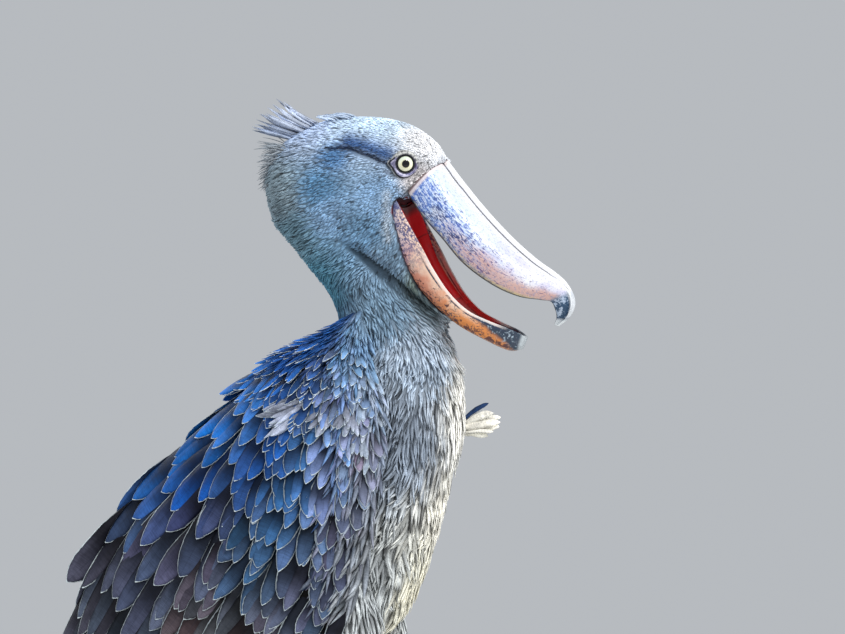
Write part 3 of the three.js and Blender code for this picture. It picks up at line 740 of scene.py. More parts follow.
def lie_samples():
    points, ways, maps = [], [], []

    def take(rings, corner, size):
        count, sides = rings.shape[:2]
        u, v = np.meshgrid((np.arange(sides) + 0.5) / sides, (np.arange(count) + 0.5) / count)
        points.append(rings.reshape(-1, 3))
        ways.append(unit(np.gradient(rings, axis=0)).reshape(-1, 3))
        maps.append((np.stack([u, v], -1) * size + corner).reshape(-1, 2))

    take(body_rings(HEAD, 40, 40, CHEEK), (0.01, 0.55), (0.6, 0.43))
    take(body_rings(THROAT, 24, 24, CHEEK), (0.63, 0.75), (0.36, 0.23))
    take(body_rings(NECK, 20, 40), (0.63, 0.55), (0.36, 0.18))
    take(body_rings(TORSO, 50, 48), (0.01, 0.01), (0.6, 0.52))
    for side, left in ((1, 0.63), (-1, 0.82)):
        take(limb_rings(thigh_points(side), THIGH_RADII, 24, 24), (left, 0.01), (0.17, 0.52))
    points, ways = np.vstack(points), np.vstack(ways)
    # On the head the feathers point away from the bill, and under the jaw down and back.
    away = unit(unit(points - BILL_ROOT) + HEAD_LIE)
    ways = unit(mix(ways, away, step(points[:, 2], 955, 1010)[:, None]))
    return point_tree(points, range(len(points))), ways, np.vstack(maps)


LIE_TREE, LIE_WAYS, LIE_MAPS = lie_samples()


def lie_at(point):
    """The way feathers point at a place, and its spot on the unwrap."""
    found = LIE_TREE.find_n(Vector(point), 7)
    weight = np.array([1 / (f[2] + 3.0) for f in found])
    way = (LIE_WAYS[[f[1] for f in found]] * weight[:, None]).sum(0)
    return unit(way), LIE_MAPS[found[0][1]]


# Feathers

# Stations along a feather, and its width at each
VANES = {
    "tuft": ([0, 0.55, 1], [0.8, 1.0, 0.2]),
    "lance": ([0, 0.2, 0.42, 0.64, 0.84, 1], [0.4, 0.86, 1.0, 0.8, 0.46, 0.06]),
    "plume": ([0, 0.2, 0.42, 0.64, 0.84, 1], [0.6, 0.95, 1.0, 0.8, 0.45, 0.06]),
    "round": (
        [0, 0.15, 0.35, 0.55, 0.7, 0.82, 0.91, 0.97, 1],
        [0.35, 0.74, 0.95, 1.0, 0.95, 0.78, 0.52, 0.26, 0.05],
    ),
    "long": (
        [0, 0.12, 0.3, 0.5, 0.68, 0.81, 0.9, 0.965, 1],
        [0.3, 0.7, 0.93, 1.0, 0.96, 0.82, 0.58, 0.29, 0.04],
    ),
}
# The section of a feather by its number of sides: places across it, and their rise in thicknesses
SECTIONS = {
    3: ([-1.0, 0.0, 1.0], [0.0, 1.0, 0.0]),
    4: ([-1.0, 0.0, 1.0, 0.0], [0.0, 1.0, 0.0, -0.4]),
    8: ([-1.0, -0.55, 0.0, 0.55, 1.0, 0.5, 0.0, -0.5], [0.0, 0.75, 1.3, 0.75, 0.0, -0.4, -0.8, -0.4]),
}
PATCH = 0.003  # the size of a small feather on the unwrap
FLECK_TONE = 0.3  # how bright the darker feathers are


def vane(style):
    stops, shape = VANES[style]
    return np.array(stops, float), np.array(shape)


def uneven(rng, count, stops, ragged):
    """Factors for the half widths, left and right, at each station of each feather."""
    return 1 + ragged * (rng.random((count, len(stops), 2)) - 0.5)


def upright(out, at):
    """The way out, made square to the feathers."""
    ahead = unit(np.gradient(at, axis=1))
    return unit(out - ahead * dot(out, ahead))


def vane_mesh(name, at, out, half, thick, camber, lie, sides, tint, spots, patch=PATCH):
    """Joined feathers as one mesh. at and out are (n, stations, 3); half is (n, stations, 2) for the left
    and right half; lie is the roll of each one. spots are their places on the unwrap."""
    n, s = at.shape[:2]
    across, lift = np.array(SECTIONS[sides])
    side = unit(np.cross(unit(np.gradient(at, axis=1)), out))
    roll = lie[:, None, None]
    side, rise = side * np.cos(roll) + out * np.sin(roll), out * np.cos(roll) - side * np.sin(roll)
    width = np.where(across < 0, half[:, :, :1], half[:, :, 1:])
    fall = camber[:, None, None] * width * across**2
    thin = thick * (1 - 0.55 * np.linspace(0, 1, s))[:, None] * lift
    p = at[:, :, None] + side[:, :, None] * (width * across)[..., None]
    p = p + rise[:, :, None] * (thin - fall)[..., None]
    base = (np.arange(n) * s * sides)[:, None, None]
    faces = []
    for kind in tube_faces(s, sides):
        faces += (kind[None] + base).reshape(-1, kind.shape[-1]).tolist()
    strides = np.linalg.norm(np.diff(at, axis=1), axis=2)
    gone = np.concatenate([np.zeros((n, 1)), np.cumsum(strides, axis=1)], axis=1)
    along = np.broadcast_to((gone / gone[:, -1:])[..., None], (n, s, sides))
    over = np.broadcast_to((across + 1) / 2, (n, s, sides))
    map_ = np.stack([over, along], -1)
    bake = spots[:, None, None] + map_ * patch
    colour = np.broadcast_to(tint[:, None, None], (n, s, sides, 3))
    # form: distance to the rim in mm, and two numbers of the feather's own
    rim = np.minimum(width * (1 - np.abs(across)), (gone[:, -1:] - gone)[..., None])
    own = np.random.default_rng(n).random((n, 2))
    form = np.concatenate([rim[..., None], np.broadcast_to(own[:, None, None], (n, s, sides, 2))], -1)
    uv_maps = {"OFBake": bake.reshape(-1, 2), "vane": map_.reshape(-1, 2)}
    return new_mesh(name, p.reshape(-1, 3), faces, {"tint": colour, "form": form}, uv_maps)


def spaced(points, gap):
    """Indices of the points that are kept so that none has another within its own gap."""
    keys = np.floor(points / gap.max()).astype(int).tolist()
    near = [(i, j, k) for i in (-1, 0, 1) for j in (-1, 0, 1) for k in (-1, 0, 1)]
    grid, kept = {}, []

    def crowded(x, y, z, key, reach):
        for dx, dy, dz in near:
            for qx, qy, qz in grid.get((key[0] + dx, key[1] + dy, key[2] + dz), ()):
                if (x - qx) ** 2 + (y - qy) ** 2 + (z - qz) ** 2 < reach:
                    return True
        return False

    for i, (place, key) in enumerate(zip(points.tolist(), keys)):
        if not crowded(*place, key, gap[i] ** 2):
            grid.setdefault(tuple(key), []).append(place)
            kept.append(i)
    return kept


class Coat:
    """Feathers rooted over the skin, each traced along it in the lie of the coat."""

    def __init__(self, triangles, points, normals):
        self.surface = surface_tree(points, triangles.tolist())
        self.triangles, self.points, self.normals = triangles, points, normals

    def scatter(self, spacing, rng):
        """Roots about spacing(points) apart; where that is 0 nothing grows."""
        corner = self.points[self.triangles]
        gap = spacing(corner.mean(1))
        area = np.linalg.norm(np.cross(corner[:, 1] - corner[:, 0], corner[:, 2] - corner[:, 0]), axis=1) / 2
        weight = np.where(gap > 0, area / np.maximum(gap, 0.1) ** 2, 0)
        count = int(2.6 * weight.sum())
        chosen = rng.choice(len(weight), count, p=weight / weight.sum())
        a, b = rng.random(count), rng.random(count)
        flip = a + b > 1
        a, b = np.where(flip, 1 - a, a), np.where(flip, 1 - b, b)
        share = np.stack([1 - a - b, a, b], 1)[..., None]
        p = (corner[chosen] * share).sum(1)
        normal = unit((self.normals[self.triangles[chosen]] * share).sum(1))
        kept = spaced(p, gap[chosen])
        return p[kept], normal[kept]

    def trace(self, root, normal, way, length, rise, sink, stops):
        """One feather's line over the skin, and the way out along it. Short tufts run straight."""
        p, out, places, outs = root.copy(), normal, [], []
        for k, stop in enumerate(stops):
            places.append(p + out * (-sink + (rise + sink) * stop**0.8))
            outs.append(out)
            if k + 1 < len(stops):
                p = p + way * length * (stops[k + 1] - stop)
                if len(stops) > 3:
                    hit, hit_normal, _, far = self.surface.find_nearest(Vector(p))
                    fresh = np.array(hit_normal)
                    if fresh @ out > 0.3 and far < 30:
                        p = np.array(hit)
                        out = unit(out * 0.35 + fresh * 0.65)
                        way = unit(way - out * (way @ out))
        return places, outs

    def grow(
        self, name, spacing, style, seed, long, wide, lift, thick=0.5, camber=0.3, sides=4, turn=8.0,
        sink=1.0, ragged=0.0, vary=0.45, lock=None, fleck=0.0,
    ):
        """long, wide and lift are functions of the roots: length, half width, and rise of the tip.
        lock: how far apart the locks are into which the feathers gather, and how strongly.
        fleck: the share of darker feathers, as a number or as a function of the roots."""
        rng = np.random.default_rng(seed)
        root, normal = self.scatter(spacing, np.random.default_rng(seed))
        stops, shape = vane(style)
        n = len(root)
        length = long(root) * (0.82 + 0.36 * rng.random(n))
        half = wide(root) * (0.85 + 0.3 * rng.random(n))
        rise = lift(root) * (0.6 + 0.8 * rng.random(n))
        turns = np.radians(turn) * rng.normal(size=n)[:, None]
        ways, spots = (np.array(found) for found in zip(*(lie_at(p) for p in root)))
        ways = unit(ways - normal * dot(ways, normal))
        ways = unit(ways * np.cos(turns) + np.cross(normal, ways) * np.sin(turns))
        traced = [self.trace(*row, sink, stops) for row in zip(root, normal, ways, length, rise)]
        at, out = (np.array(lines) for lines in zip(*traced))
        if lock is not None:
            guides = point_tree(root, spaced(root, np.full(n, lock[0])))
            lead = np.array([guides.find(Vector(p))[1] for p in root])
            at += (at[lead] - at) * (lock[1] * stops**1.4)[None, :, None]
        halves = half[:, None, None] * shape[None, :, None] * uneven(rng, n, stops, ragged)
        colour = plumage(root) * (1 + vary * (rng.random((n, 1)) - 0.5))
        share = fleck(root)[:, None] if callable(fleck) else fleck
        colour *= np.where(rng.random((n, 1)) < share, FLECK_TONE, 1.0)
        rolls = np.radians(6.0) * rng.normal(size=n)
        cambers = camber * (0.6 + 0.8 * rng.random(n))
        return vane_mesh(name, at, upright(out, at), halves, thick, cambers, rolls, sides, colour, spots)


# Wings

WING_LINES = [spline(line) for line in (WING_BACK, WING_SIDE, WING_EDGE)]


def wing_at(u, v):
    """The folded wing's outer surface: u runs from the back edge to the lower edge, v from shoulder to tip.
    Before the shoulder it runs straight on to the neck."""
    u, v = np.asarray(u, float)[..., None], np.asarray(v, float)
    early = np.minimum(v, 0)[..., None]
    back, bulge, edge = (line(v) + early * (line(0.01) - line(0.0)) / 0.01 for line in WING_LINES)
    return back * (1 - u) ** 2 + bulge * 2 * u * (1 - u) + edge * u * u


def wing_frame(u, v):
    """The wing's surface at u, v, its slopes along both, and the way out of it."""
    tiny = 0.004
    cu, cv = np.clip(u, tiny, 1 - tiny), np.clip(v, tiny, 1 - tiny)
    du = (wing_at(cu + tiny, cv) - wing_at(cu - tiny, cv)) / (2 * tiny)
    dv = (wing_at(cu, cv + tiny) - wing_at(cu, cv - tiny)) / (2 * tiny)
    return wing_at(u, v), du, dv, unit(np.cross(du, dv))


def wing_trace(u, v, turn, long, stops):
    """The lines of feathers from their roots over the wing, and the way out along them. Past the wing's
    edge they run straight."""
    p, du, dv, out = wing_frame(u, v)
    turn = -np.radians(turn)[:, None]
    way = unit(dv)
    way = way * np.cos(turn) + np.cross(out, way) * np.sin(turn)
    places, outs = [p], [out]
    for share in np.diff(stops):
        stride = (long * share)[:, None]
        uu, vv, uv = dot(du, du), dot(dv, dv), dot(du, dv)
        pu, pv = dot(way, du), dot(way, dv)
        det = uu * vv - uv * uv
        u = u + (stride * (pu * vv - pv * uv) / det)[:, 0]
        v = v + (stride * (pv * uu - pu * uv) / det)[:, 0]
        on = ((u > 0.01) & (u < 0.99) & (v < 0.99))[:, None]
        fresh = wing_frame(u, v)
        ahead = np.where(on, unit(fresh[0] - p), way)
        p = np.where(on, fresh[0], p + way * stride)
        way = ahead
        du, dv, out = (np.where(on, new, old) for new, old in zip(fresh[1:], (du, dv, out)))
        places.append(p)
        outs.append(out)
    return np.stack(places, 1), np.stack(outs, 1)


# Colours of the wing by place: centre (u, v), reach, colour
WING_TONES = {
    "mantle_front": ((0.75, -0.04), 0.16, (0.1, 0.18, 0.31)),
    "mantle_back": ((0.3, -0.02), 0.18, (0.008, 0.055, 0.2)),
    "back": ((0.25, 0.09), 0.12, (0.008, 0.058, 0.24)),
    # Painted shade in the gap between scapulars and coverts, under the loose pale tuft
    "shoulder_fold_shade": ((0.56, 0.11), 0.1, (0.02, 0.05, 0.15)),
    "shoulder_edge": ((0.92, 0.05), 0.12, (0.13, 0.18, 0.3)),
    "scapular_high": ((0.22, 0.2), 0.1, (0.03, 0.14, 0.42)),
    "scapular": ((0.08, 0.3), 0.12, (0.006, 0.12, 0.44)),
    "scapular_low": ((0.22, 0.36), 0.08, (0.004, 0.055, 0.25)),
    "scapular_front": ((0.42, 0.23), 0.09, (0.008, 0.06, 0.24)),
    "covert_high": ((0.76, 0.17), 0.1, (0.15, 0.22, 0.42)),
    "covert": ((0.62, 0.28), 0.1, (0.03, 0.11, 0.28)),
    "covert_edge": ((0.94, 0.19), 0.09, (0.17, 0.18, 0.26)),
    "covert_low": ((0.6, 0.4), 0.1, (0.03, 0.08, 0.17)),
    "covert_dark": ((0.92, 0.34), 0.1, (0.06, 0.075, 0.13)),
    "tertial": ((0.3, 0.49), 0.12, (0.05, 0.055, 0.1)),
    "secondary": ((0.6, 0.6), 0.2, (0.09, 0.075, 0.085)),
    "primary": ((0.1, 0.72), 0.2, (0.05, 0.055, 0.08)),
}
# How far down the wing a feather shows most, for each mm of its length
SHOWN = 0.0011
# Rows of feathers: v at both ends, u at both ends, how many, length at both ends, width, turn at both ends
LONG_ROWS = [
    ((0.60, 0.62), (0.08, 0.70), 9, (226, 150), 31, (0, 4)),
    ((0.45, 0.47), (0.38, 0.96), 13, (205, 150), 34, (8, 2)),
    ((0.41, 0.42), (0.40, 0.97), 13, (118, 100), 31, (7, 0)),
    ((0.52, 0.55), (0.04, 0.26), 5, (190, 190), 36, (0, 4)),
    ((0.47, 0.49), (0.04, 0.34), 6, (150, 165), 38, (0, 5)),
]
SCAPULAR_ROWS = [
    ((0.41, 0.43), (0.04, 0.38), 6, (140, 150), 42, (-2, 5)),
    ((0.355, 0.37), (0.05, 0.42), 6, (128, 134), 41, (-2, 5)),
    ((0.30, 0.315), (0.03, 0.43), 6, (120, 124), 40, (-2, 6)),
    ((0.25, 0.265), (0.06, 0.45), 6, (110, 112), 38, (-2, 6)),
    ((0.205, 0.22), (0.03, 0.45), 7, (98, 100), 35, (-2, 6)),
    ((0.16, 0.18), (0.06, 0.47), 7, (86, 90), 32, (-2, 6)),
    ((0.12, 0.14), (0.03, 0.47), 8, (74, 78), 28, (-4, 8)),
    ((0.085, 0.10), (0.06, 0.5), 9, (64, 66), 24, (-4, 8)),
]
COVERT_V, COVERT_ROWS = (0.37, 0.05), 12
VANE_SINK, VANE_LIFT = 7.0, 9.0


def covert_row(k):
    """Small pointed feathers over the front half of the wing, smallest at the shoulder."""
    t = k / (COVERT_ROWS - 1)
    v = mix(*COVERT_V, t**0.92)
    shift = 0.025 * (k % 2)
    long = (mix(100, 46, t), mix(90, 40, t))
    return (v + 0.01, v), (0.43 + shift, 0.95 + shift), 12, long, mix(26, 16, t), (4, -2)


def wing_tone(u, v, long, rng, vary=0.8):
    """The colour of a feather rooted at u, v: that of the place where it shows, with a shift of its own."""
    tone = blended(np.array([[u, v + SHOWN * long]]), WING_TONES)[0]
    warm = rng.random() - 0.5
    return tone * (1 + vary * (rng.random() - 0.5)) * (1 + warm * np.array([0.4, -0.1, -0.12]))


def faded_tone(u, v, long, rng, vary, start):
    """The wing's colour, which fades into the breast's own from u = start to the front edge."""
    own = plumage(wing_at(u, v)[None])[0]
    return mix(wing_tone(u, v, long, rng, vary), own, 0.85 * float(step(u, start, 1.0)))


def feather_rows(rows, rng, loose):
    """The feathers of some rows, each set a little off its place."""
    sites = []
    for v, u, count, long, wide, turn in rows:
        span = (u[1] - u[0]) / count
        for k in range(count):
            t = k / (count - 1)
            a, b, c, d, e, f, g = rng.random(7) - 0.5
            at_u, at_v = mix(*u, t) + 0.6 * loose * b * span, mix(*v, t) + 0.026 * loose * c
            length = mix(*long, t) * (1 + 0.25 * loose * e)
            shape = mix(*turn, t) + 16 * loose * d, length, wide * (1 + 0.35 * loose * f)
            tone = wing_tone(at_u, at_v, length, rng)
            sites.append((at_u, at_v, *shape, VANE_LIFT * (0.9 + 0.3 * g), 0.2 + 0.2 * a, tone))
    return sites


def scattered(rows, columns, rng):
    """Row and column of each feather in a ruffled field, with seven random numbers from -0.5 to 0.5."""
    for i in range(rows):
        for j in range(columns):
            yield i, j, rng.random(7) - 0.5


def atlas(count):
    """Where each of count wide feathers lies on its piece's map, and the size of its patch."""
    columns = math.ceil(math.sqrt(count))
    cell = np.arange(count)
    return (np.stack([cell % columns, cell // columns], 1) + 0.04) / columns, 0.92 / columns


def wing_plumes(name, side, sites, style, rng, sink=VANE_SINK, thick=0.8, lean=7.0, ragged=0.12, sides=8):
    """Feathers rooted on the wing. Each site gives u, v, turn, length, width, lift, camber and colour."""
    stops, shape = vane(style)
    u, v, turn, long, wide, lift, camber = np.array([site[:7] for site in sites]).T
    places, outs = wing_trace(u, v, turn, long, stops)
    at = mirrored(places + outs * mix(-sink, lift[:, None], stops**0.65)[..., None], side)
    half = wide[:, None, None] / 2 * shape[:, None] * uneven(rng, len(sites), stops, ragged)
    roll = -side * np.radians(lean + 8 * (rng.random(len(sites)) - 0.5))
    spots, patch = atlas(len(sites))
    tint = np.array([site[7] for site in sites])
    out = mirrored(outs, side)
    return vane_mesh(sided(name, side), at, out, half, thick, camber, roll, sides, tint, spots, patch)


def wing_feathers(side, seed):
    rng = np.random.default_rng(seed)
    rows = [covert_row(k) for k in range(COVERT_ROWS)]
    sites = feather_rows(LONG_ROWS, rng, 0.5) + feather_rows(rows, rng, 1.3)
    sites += feather_rows(SCAPULAR_ROWS, rng, 1.1)
    return wing_plumes("wing_feathers", side, sites, "long", rng)


# Loose pale feathers on the wing: u, v, turn, how many, length, brightness
LOOSE_TUFTS = [(0.585, 0.13, -40, 20, 60, 1.1), (0.7, 0.14, -16, 5, 28, 0.75), (0.82, 0.11, -6, 9, 38, 0.75)]
LOOSE_TONE = np.array((0.29, 0.32, 0.41))


def wing_cape(side, seed):
    """Ruffled feathers over the shoulder, and a few loose pale ones."""
    rng = np.random.default_rng(seed)
    sites = []
    for i, j, (a, b, c, d, e, f, g) in scattered(9, 20, rng):
        u, v = (j + 0.5 + 0.9 * a + 0.5 * (i % 2)) / 20.5, mix(0.145, 0.0, (i + 0.9 * b) / 8)
        long = mix(32, 48, d + 0.5)
        tone = faded_tone(u, v, long, rng, 1.4, 0.66)
        turn, wide = 34 * c + mix(-6, 4, u), mix(7, 12, e + 0.5)
        sites.append((u, v, turn, long, wide, 8 + 9 * f, 0.35 + 0.3 * g, tone))
    for u, v, turn, count, long, bright in LOOSE_TUFTS:
        for a, b, c, d in rng.random((count, 4)) - 0.5:
            shape = turn + 44 * c, long * (1 + 0.5 * d), 9 + 4 * a, 15 + 6 * b, 0.8
            sites.append((u + 0.06 * a, v + 0.03 * b, *shape, LOOSE_TONE * (1 + 0.9 * c) * bright))
    return wing_plumes("wing_cape", side, sites, "round", rng, 5.0, 0.6, 4.0, 0.25)


def wing_mantle(side, seed):
    """Soft narrow feathers that run from the neck on to the wing."""
    rng = np.random.default_rng(seed)
    sites = []
    for i, j, (a, b, c, d, e, f, _) in scattered(17, 38, rng):
        u, v = (j + 0.5 + 0.9 * a) / 38, mix(0.075, -0.068, (i + 0.9 * b) / 16)
        long = mix(24, 38, d + 0.5)
        tone = faded_tone(u, v, long, rng, 1.2, 0.45) * 1.1
        sites.append((u, v, 30 * c, long, mix(4.5, 7.5, e + 0.5), 7 + 5 * f, 0.3, tone))
    return wing_plumes("wing_mantle", side, sites, "lance", rng, 4.0, 0.6, 0.0, 0.3, 4)


def wing_flank(side, seed):
    """Soft narrow feathers of the breast that lie over the wing's front edge."""
    rng = np.random.default_rng(seed)
    sites = []
    for i, j, (a, b, c, d, e, f, g) in scattered(26, 15, rng):
        share = (j + 0.5 + a) / 15
        v = 0.02 + 0.013 * (i + b)
        u = mix(mix(0.72, 0.86, i / 25), 1.02, share)
        long = mix(30, 50, d + 0.5)
        own = plumage(wing_at(u, v)[None])[0]
        tone = mix(wing_tone(u, v, long, rng, 0.5), own, 0.55 * share + 0.3 * g) * (1 + 0.7 * d)
        sites.append((u, v, 36 * c - 6, long, mix(5, 9, e + 0.5), 7 + 7 * f, 0.35, tone))
    return wing_plumes("wing_flank", side, sites, "lance", rng, 5.0, 0.6, 2.0, 0.35, 4)


def wing_bed(side):
    """The arm under the feathers, which closes the gaps between them."""
    cells, lines, thick = 24, 40, 15.0
    swell = np.sin(math.pi * np.arange(cells + 1) / cells)[:, None]
    rings = []
    for v in np.linspace(0.02, 0.68, lines):
        widest = 0.97 if v < 0.46 else mix(0.97, 0.66, (v - 0.46) / 0.22)
        u = np.linspace(0.03, widest, cells + 1)
        p, _, _, out = wing_frame(u, np.full(len(u), v))
        back = p - out * (4.5 + thick * swell * (1 - 0.6 * v))
        rings.append(np.vstack([p - out, back[::-1]]))
    return new_mesh(sided("wing_bed", side), *closed(mirrored(rings, side)))


# Rows of the tail: how many, reach to each side, length, width, rise of the tips, colour
DUSK, SLATE = (0.08, 0.08, 0.11), (0.02, 0.09, 0.24)
TAIL_ROWS = [
    (12, 14, 222, 32, 0.0, DUSK),
    (9, 15, 128, 30, 7.0, DUSK),
    (8, 15, 92, 27, 11.0, SLATE),
    (8, 14, 60, 24, 14.0, SLATE),
]


def tail_feathers(seed):
    rng = np.random.default_rng(seed)
    over, way = unit(-np.cross(TAIL_AHEAD, LEFT)), unit(TAIL_AHEAD)
    stops, shape = vane("long")
    f = stops[:, None]
    at, half, tint, roll = [], [], [], []
    for count, reach, long, wide, rise, tone in TAIL_ROWS:
        for k in range(count):
            t = 2 * k / (count - 1) - 1
            turn = math.radians(-5 * t)
            aim = way * math.cos(turn) + np.cross(over, way) * math.sin(turn)
            base = TAIL_START + way * 8 + LEFT * reach * t
            reaching = aim * long * (0.97 + 0.04 * rng.random()) * f
            at.append(base + reaching + over * (rise * f - 14 * t * t * f))
            half.append(wide / 2 * shape[:, None] * uneven(rng, 1, stops, 0.06)[0])
            tint.append(np.array(tone) * (0.85 + 0.3 * rng.random()))
            roll.append(math.radians(8) * (1 if t < 0 else -1))
    at, half, tint, roll = (np.array(values) for values in (at, half, tint, roll))
    out, camber = np.broadcast_to(over, at.shape), np.full(len(at), 0.05)
    spots, patch = atlas(len(at))
    return vane_mesh("tail_feathers", at, out, half, 0.8, camber, roll, 8, tint, spots, patch)


# Loose feathers on the front of the breast: root, aim, length, half width, colour
BREAST_TUFT = [
    ((176, 22, 829), (0.82, 0.1, 0.56), 30, 3.0, (0.02, 0.05, 0.14)),
    ((177, 24, 830), (0.87, 0.05, 0.48), 22, 2.6, (0.5, 0.52, 0.56)),
    ((178, 22, 824), (0.93, 0.0, 0.34), 31, 5.0, (0.86, 0.84, 0.76)),
    ((179, 25, 821), (0.96, 0.1, 0.24), 36, 6.4, (0.94, 0.92, 0.82)),
    ((178, 20, 818), (0.97, 0.1, 0.16), 37, 6.4, (0.86, 0.83, 0.74)),
    ((179, 24, 816), (0.98, 0.02, 0.08), 34, 6.6, (0.94, 0.91, 0.8)),
    ((178, 21, 813), (0.98, 0.0, 0.0), 29, 6.0, (0.88, 0.86, 0.78)),
    ((178, 24, 810), (0.95, 0.05, -0.1), 22, 5.0, (0.92, 0.9, 0.8)),
]


def breast_tuft(seed):
    """A few loose feathers that stick out of the breast in front."""
    rng = np.random.default_rng(seed)
    stops, shape = vane("round")
    f = stops[:, None]
    at = []
    for root, aim, long, _, _ in BREAST_TUFT:
        aim = unit(aim)
        at.append(np.array(root) - aim * 8 + aim * (long + 8) * f + UP * 3 * np.sin(math.pi * f))
    n = len(at)
    at = np.array(at)
    half = np.array([row[3] for row in BREAST_TUFT])[:, None, None] * shape[None, :, None]
    half = half * uneven(rng, n, stops, 0.3)
    out = upright(np.broadcast_to(unit([0.1, -0.9, 0.4]), at.shape), at)
    spots = np.stack([0.3 + PATCH * np.arange(n), np.full(n, 0.3)], 1)
    camber, roll = np.full(n, 0.25), 0.2 * rng.normal(size=n)
    tint = np.array([row[4] for row in BREAST_TUFT])
    return vane_mesh("breast_tuft", at, out, half, 0.5, camber, roll, 8, tint, spots)


# The crest

CREST_TIPS = [
    (-36, 1193), (-47, 1197), (-53, 1188), (-62, 1182), (-67, 1178), (-70, 1171), (-74, 1165), (-73, 1158),
]
CREST_LOCKS, CREST_COUNT = 11, 165
CREST_PALE, CREST_DARK = np.array((0.7, 0.78, 0.95)), np.array((0.34, 0.41, 0.55))
NAPE_TONE, CROWN_TONE = (0.3, 0.34, 0.38), (0.6, 0.72, 0.9)


def crest(count, seed):
    """A wedge of stiffer feathers side by side at the back of the crown, fine soft ones on the nape below
    it, and a low ruffle on the crown."""
    rng = np.random.default_rng(seed)
    stops, shape = vane("plume")
    f = stops[:, None]
    tips = spline([side_view(p) for p in CREST_TIPS])
    at, half, tint, spots, aims = [], [], [], [], []

    def swing(most):
        return most * (2 * rng.random() - 1)

    def add(root, bend, tip, wide, tone):
        at.append(root * (1 - f) ** 2 + bend * 2 * f * (1 - f) + tip * f * f)
        half.append(wide * shape[:, None] * uneven(rng, 1, stops, 0.2)[0])
        tint.append(np.array(tone) * (0.7 + 0.45 * rng.random()))
        spots.append((0.2 + 0.1 * rng.random(), 0.8 + 0.1 * rng.random()))

    for k in range(count):
        lock = k % CREST_LOCKS
        if k < CREST_LOCKS:
            aims.append((swing(12), mix(0.86, 1.04, rng.random()), mix(0.8, 1.1, rng.random())))
        aside, reach, bright = aims[lock]
        free = k % 3 == 1
        s = rng.random() if free else (lock + rng.random()) / CREST_LOCKS
        y = aside + swing(5)
        root = mix(np.array([4.0, y, 1168]), np.array([-28.0, y, 1149]), s) - UP * (y * y / 62)
        end = tips(s if free else (lock + 0.5) / CREST_LOCKS)
        end = end + LEFT * (0.8 * aside + 1.2 * rng.normal()) - UP * (y * y / 90)
        share = mix(0.5, 0.78, rng.random()) if free else mix(0.72, 1.0, rng.random() ** 0.6)
        bend = mix(root, end, 0.55) - UP * mix(7.0, 1.0, s)
        tone = mix(CREST_PALE, CREST_DARK, s) * bright
        add(root, bend, mix(root, end, reach * share), mix(2.4, 4.2, rng.random()), tone)
    for k in range(int(count * 1.4)):
        s, y = rng.random(), swing(24)
        root = mix(np.array([-34.0, y, 1146]), np.array([-49.0, y, 1098]), s)
        root = root + np.array([y * y / 50, 0, -y * y / 90])
        long = mix(34, 17, s) * (0.6 + 0.5 * rng.random())
        rise = math.radians(mix(2, -42, s) + 12 * rng.normal())
        aim = unit([-math.cos(rise), 0.012 * y + 0.1 * rng.normal(), math.sin(rise)])
        add(root, root + aim * long * 0.5 + UP * 2, root + aim * long, 0.8 + 0.8 * rng.random(), NAPE_TONE)
    for k in range(int(count * 0.4)):
        x, y = mix(20, 50, rng.random()), swing(17)
        root = np.array([x, y, mix(1172.5, 1174.5, (x - 20) / 30) - y * y / 70])
        tip = root + np.array([-15 - 5 * rng.random(), 2 * rng.normal(), 2.5 + 2.5 * rng.random()])
        add(root, mix(root, tip, 0.5) + UP * 2.5, tip, 1.6 + 0.8 * rng.random(), CROWN_TONE)
    at = np.array(at)
    out = np.cross(unit(np.gradient(at, axis=1)), LEFT)
    spread = at[:, :1, 1:2] / 40
    out = upright(unit(out * (1 - np.abs(spread)) + LEFT * spread), at)
    roll, camber = np.radians(14 * rng.normal(size=len(at))), np.full(len(at), 0.3)
    return vane_mesh("crest", at, out, np.array(half), 0.5, camber, roll, 4, np.array(tint), np.array(spots))


# Bill, mouth and eyes

def bill_form(rings, s, ts):
    """For each point of a bill's sections: its t, its height, and its share of the half width."""
    height = dot(rings - s["low"][:, None], s["up"][:, None])[..., 0] / (2 * s["half"])
    return np.stack([np.broadcast_to(ts[:, None], height.shape), height, rings[..., 1] / s["wide"]], -1)


def bill_upper():
    ts = np.linspace(0, 1, 170) ** 0.96
    rings, s = half_sections(BILL_UPPER, ts, upper_controls)
    form = bill_form(rings, s, ts)
    t, height = form[..., 0], form[..., 1]
    # The groove beside the ridge, and the nostril as a slit in it
    aside = np.abs(rings[..., 1]) - np.minimum(CULMEN_RIDGE, 0.4 * s["wide"])
    groove = np.exp(-(((aside - 1.9) / 0.75) ** 2)) * (height > 0.7) * step(0.7 - t, 0, 0.06)
    slit = np.exp(-(((aside - 2.3) / 1.3) ** 2)) * np.exp(-(((t - 0.085) / 0.024) ** 4)) * (height > 0.7)
    rings = rings - s["up"][:, None] * (2.4 * slit)[..., None]
    # Where groove and slit lie, which the material paints black as their shade
    marks = np.stack([groove, slit, np.zeros_like(slit)], -1)
    return new_mesh("bill_upper_horn", *closed(rings), {"form": form, "marks": marks})


def bill_lower():
    ts = np.linspace(0, 1, 130)
    rings, s = half_sections(BILL_LOWER, ts, lower_controls, per=4)
    return new_mesh("bill_lower_horn", *closed(rings), {"form": bill_form(rings, s, ts)})


def lining_controls(t, h, wide):
    """A soft lining on the inside of the lower bill."""
    wall = min(BILL_WALL, 0.3 * wide) + 0.4
    rim = mix(0.96, 0.7, float(step(t, 0.1, 0.4)))
    return [
        (0, 0.2 * h), (wide * 0.42, 0.24 * h), (wide * 0.76 - wall, 0.46 * h), (wide - wall - 0.5, rim * h),
        (wide - wall - 1.6, rim * h), (wide * 0.74 - wall - 1, 0.6 * h), (wide * 0.4, 0.4 * h), (0, 0.36 * h),
    ]


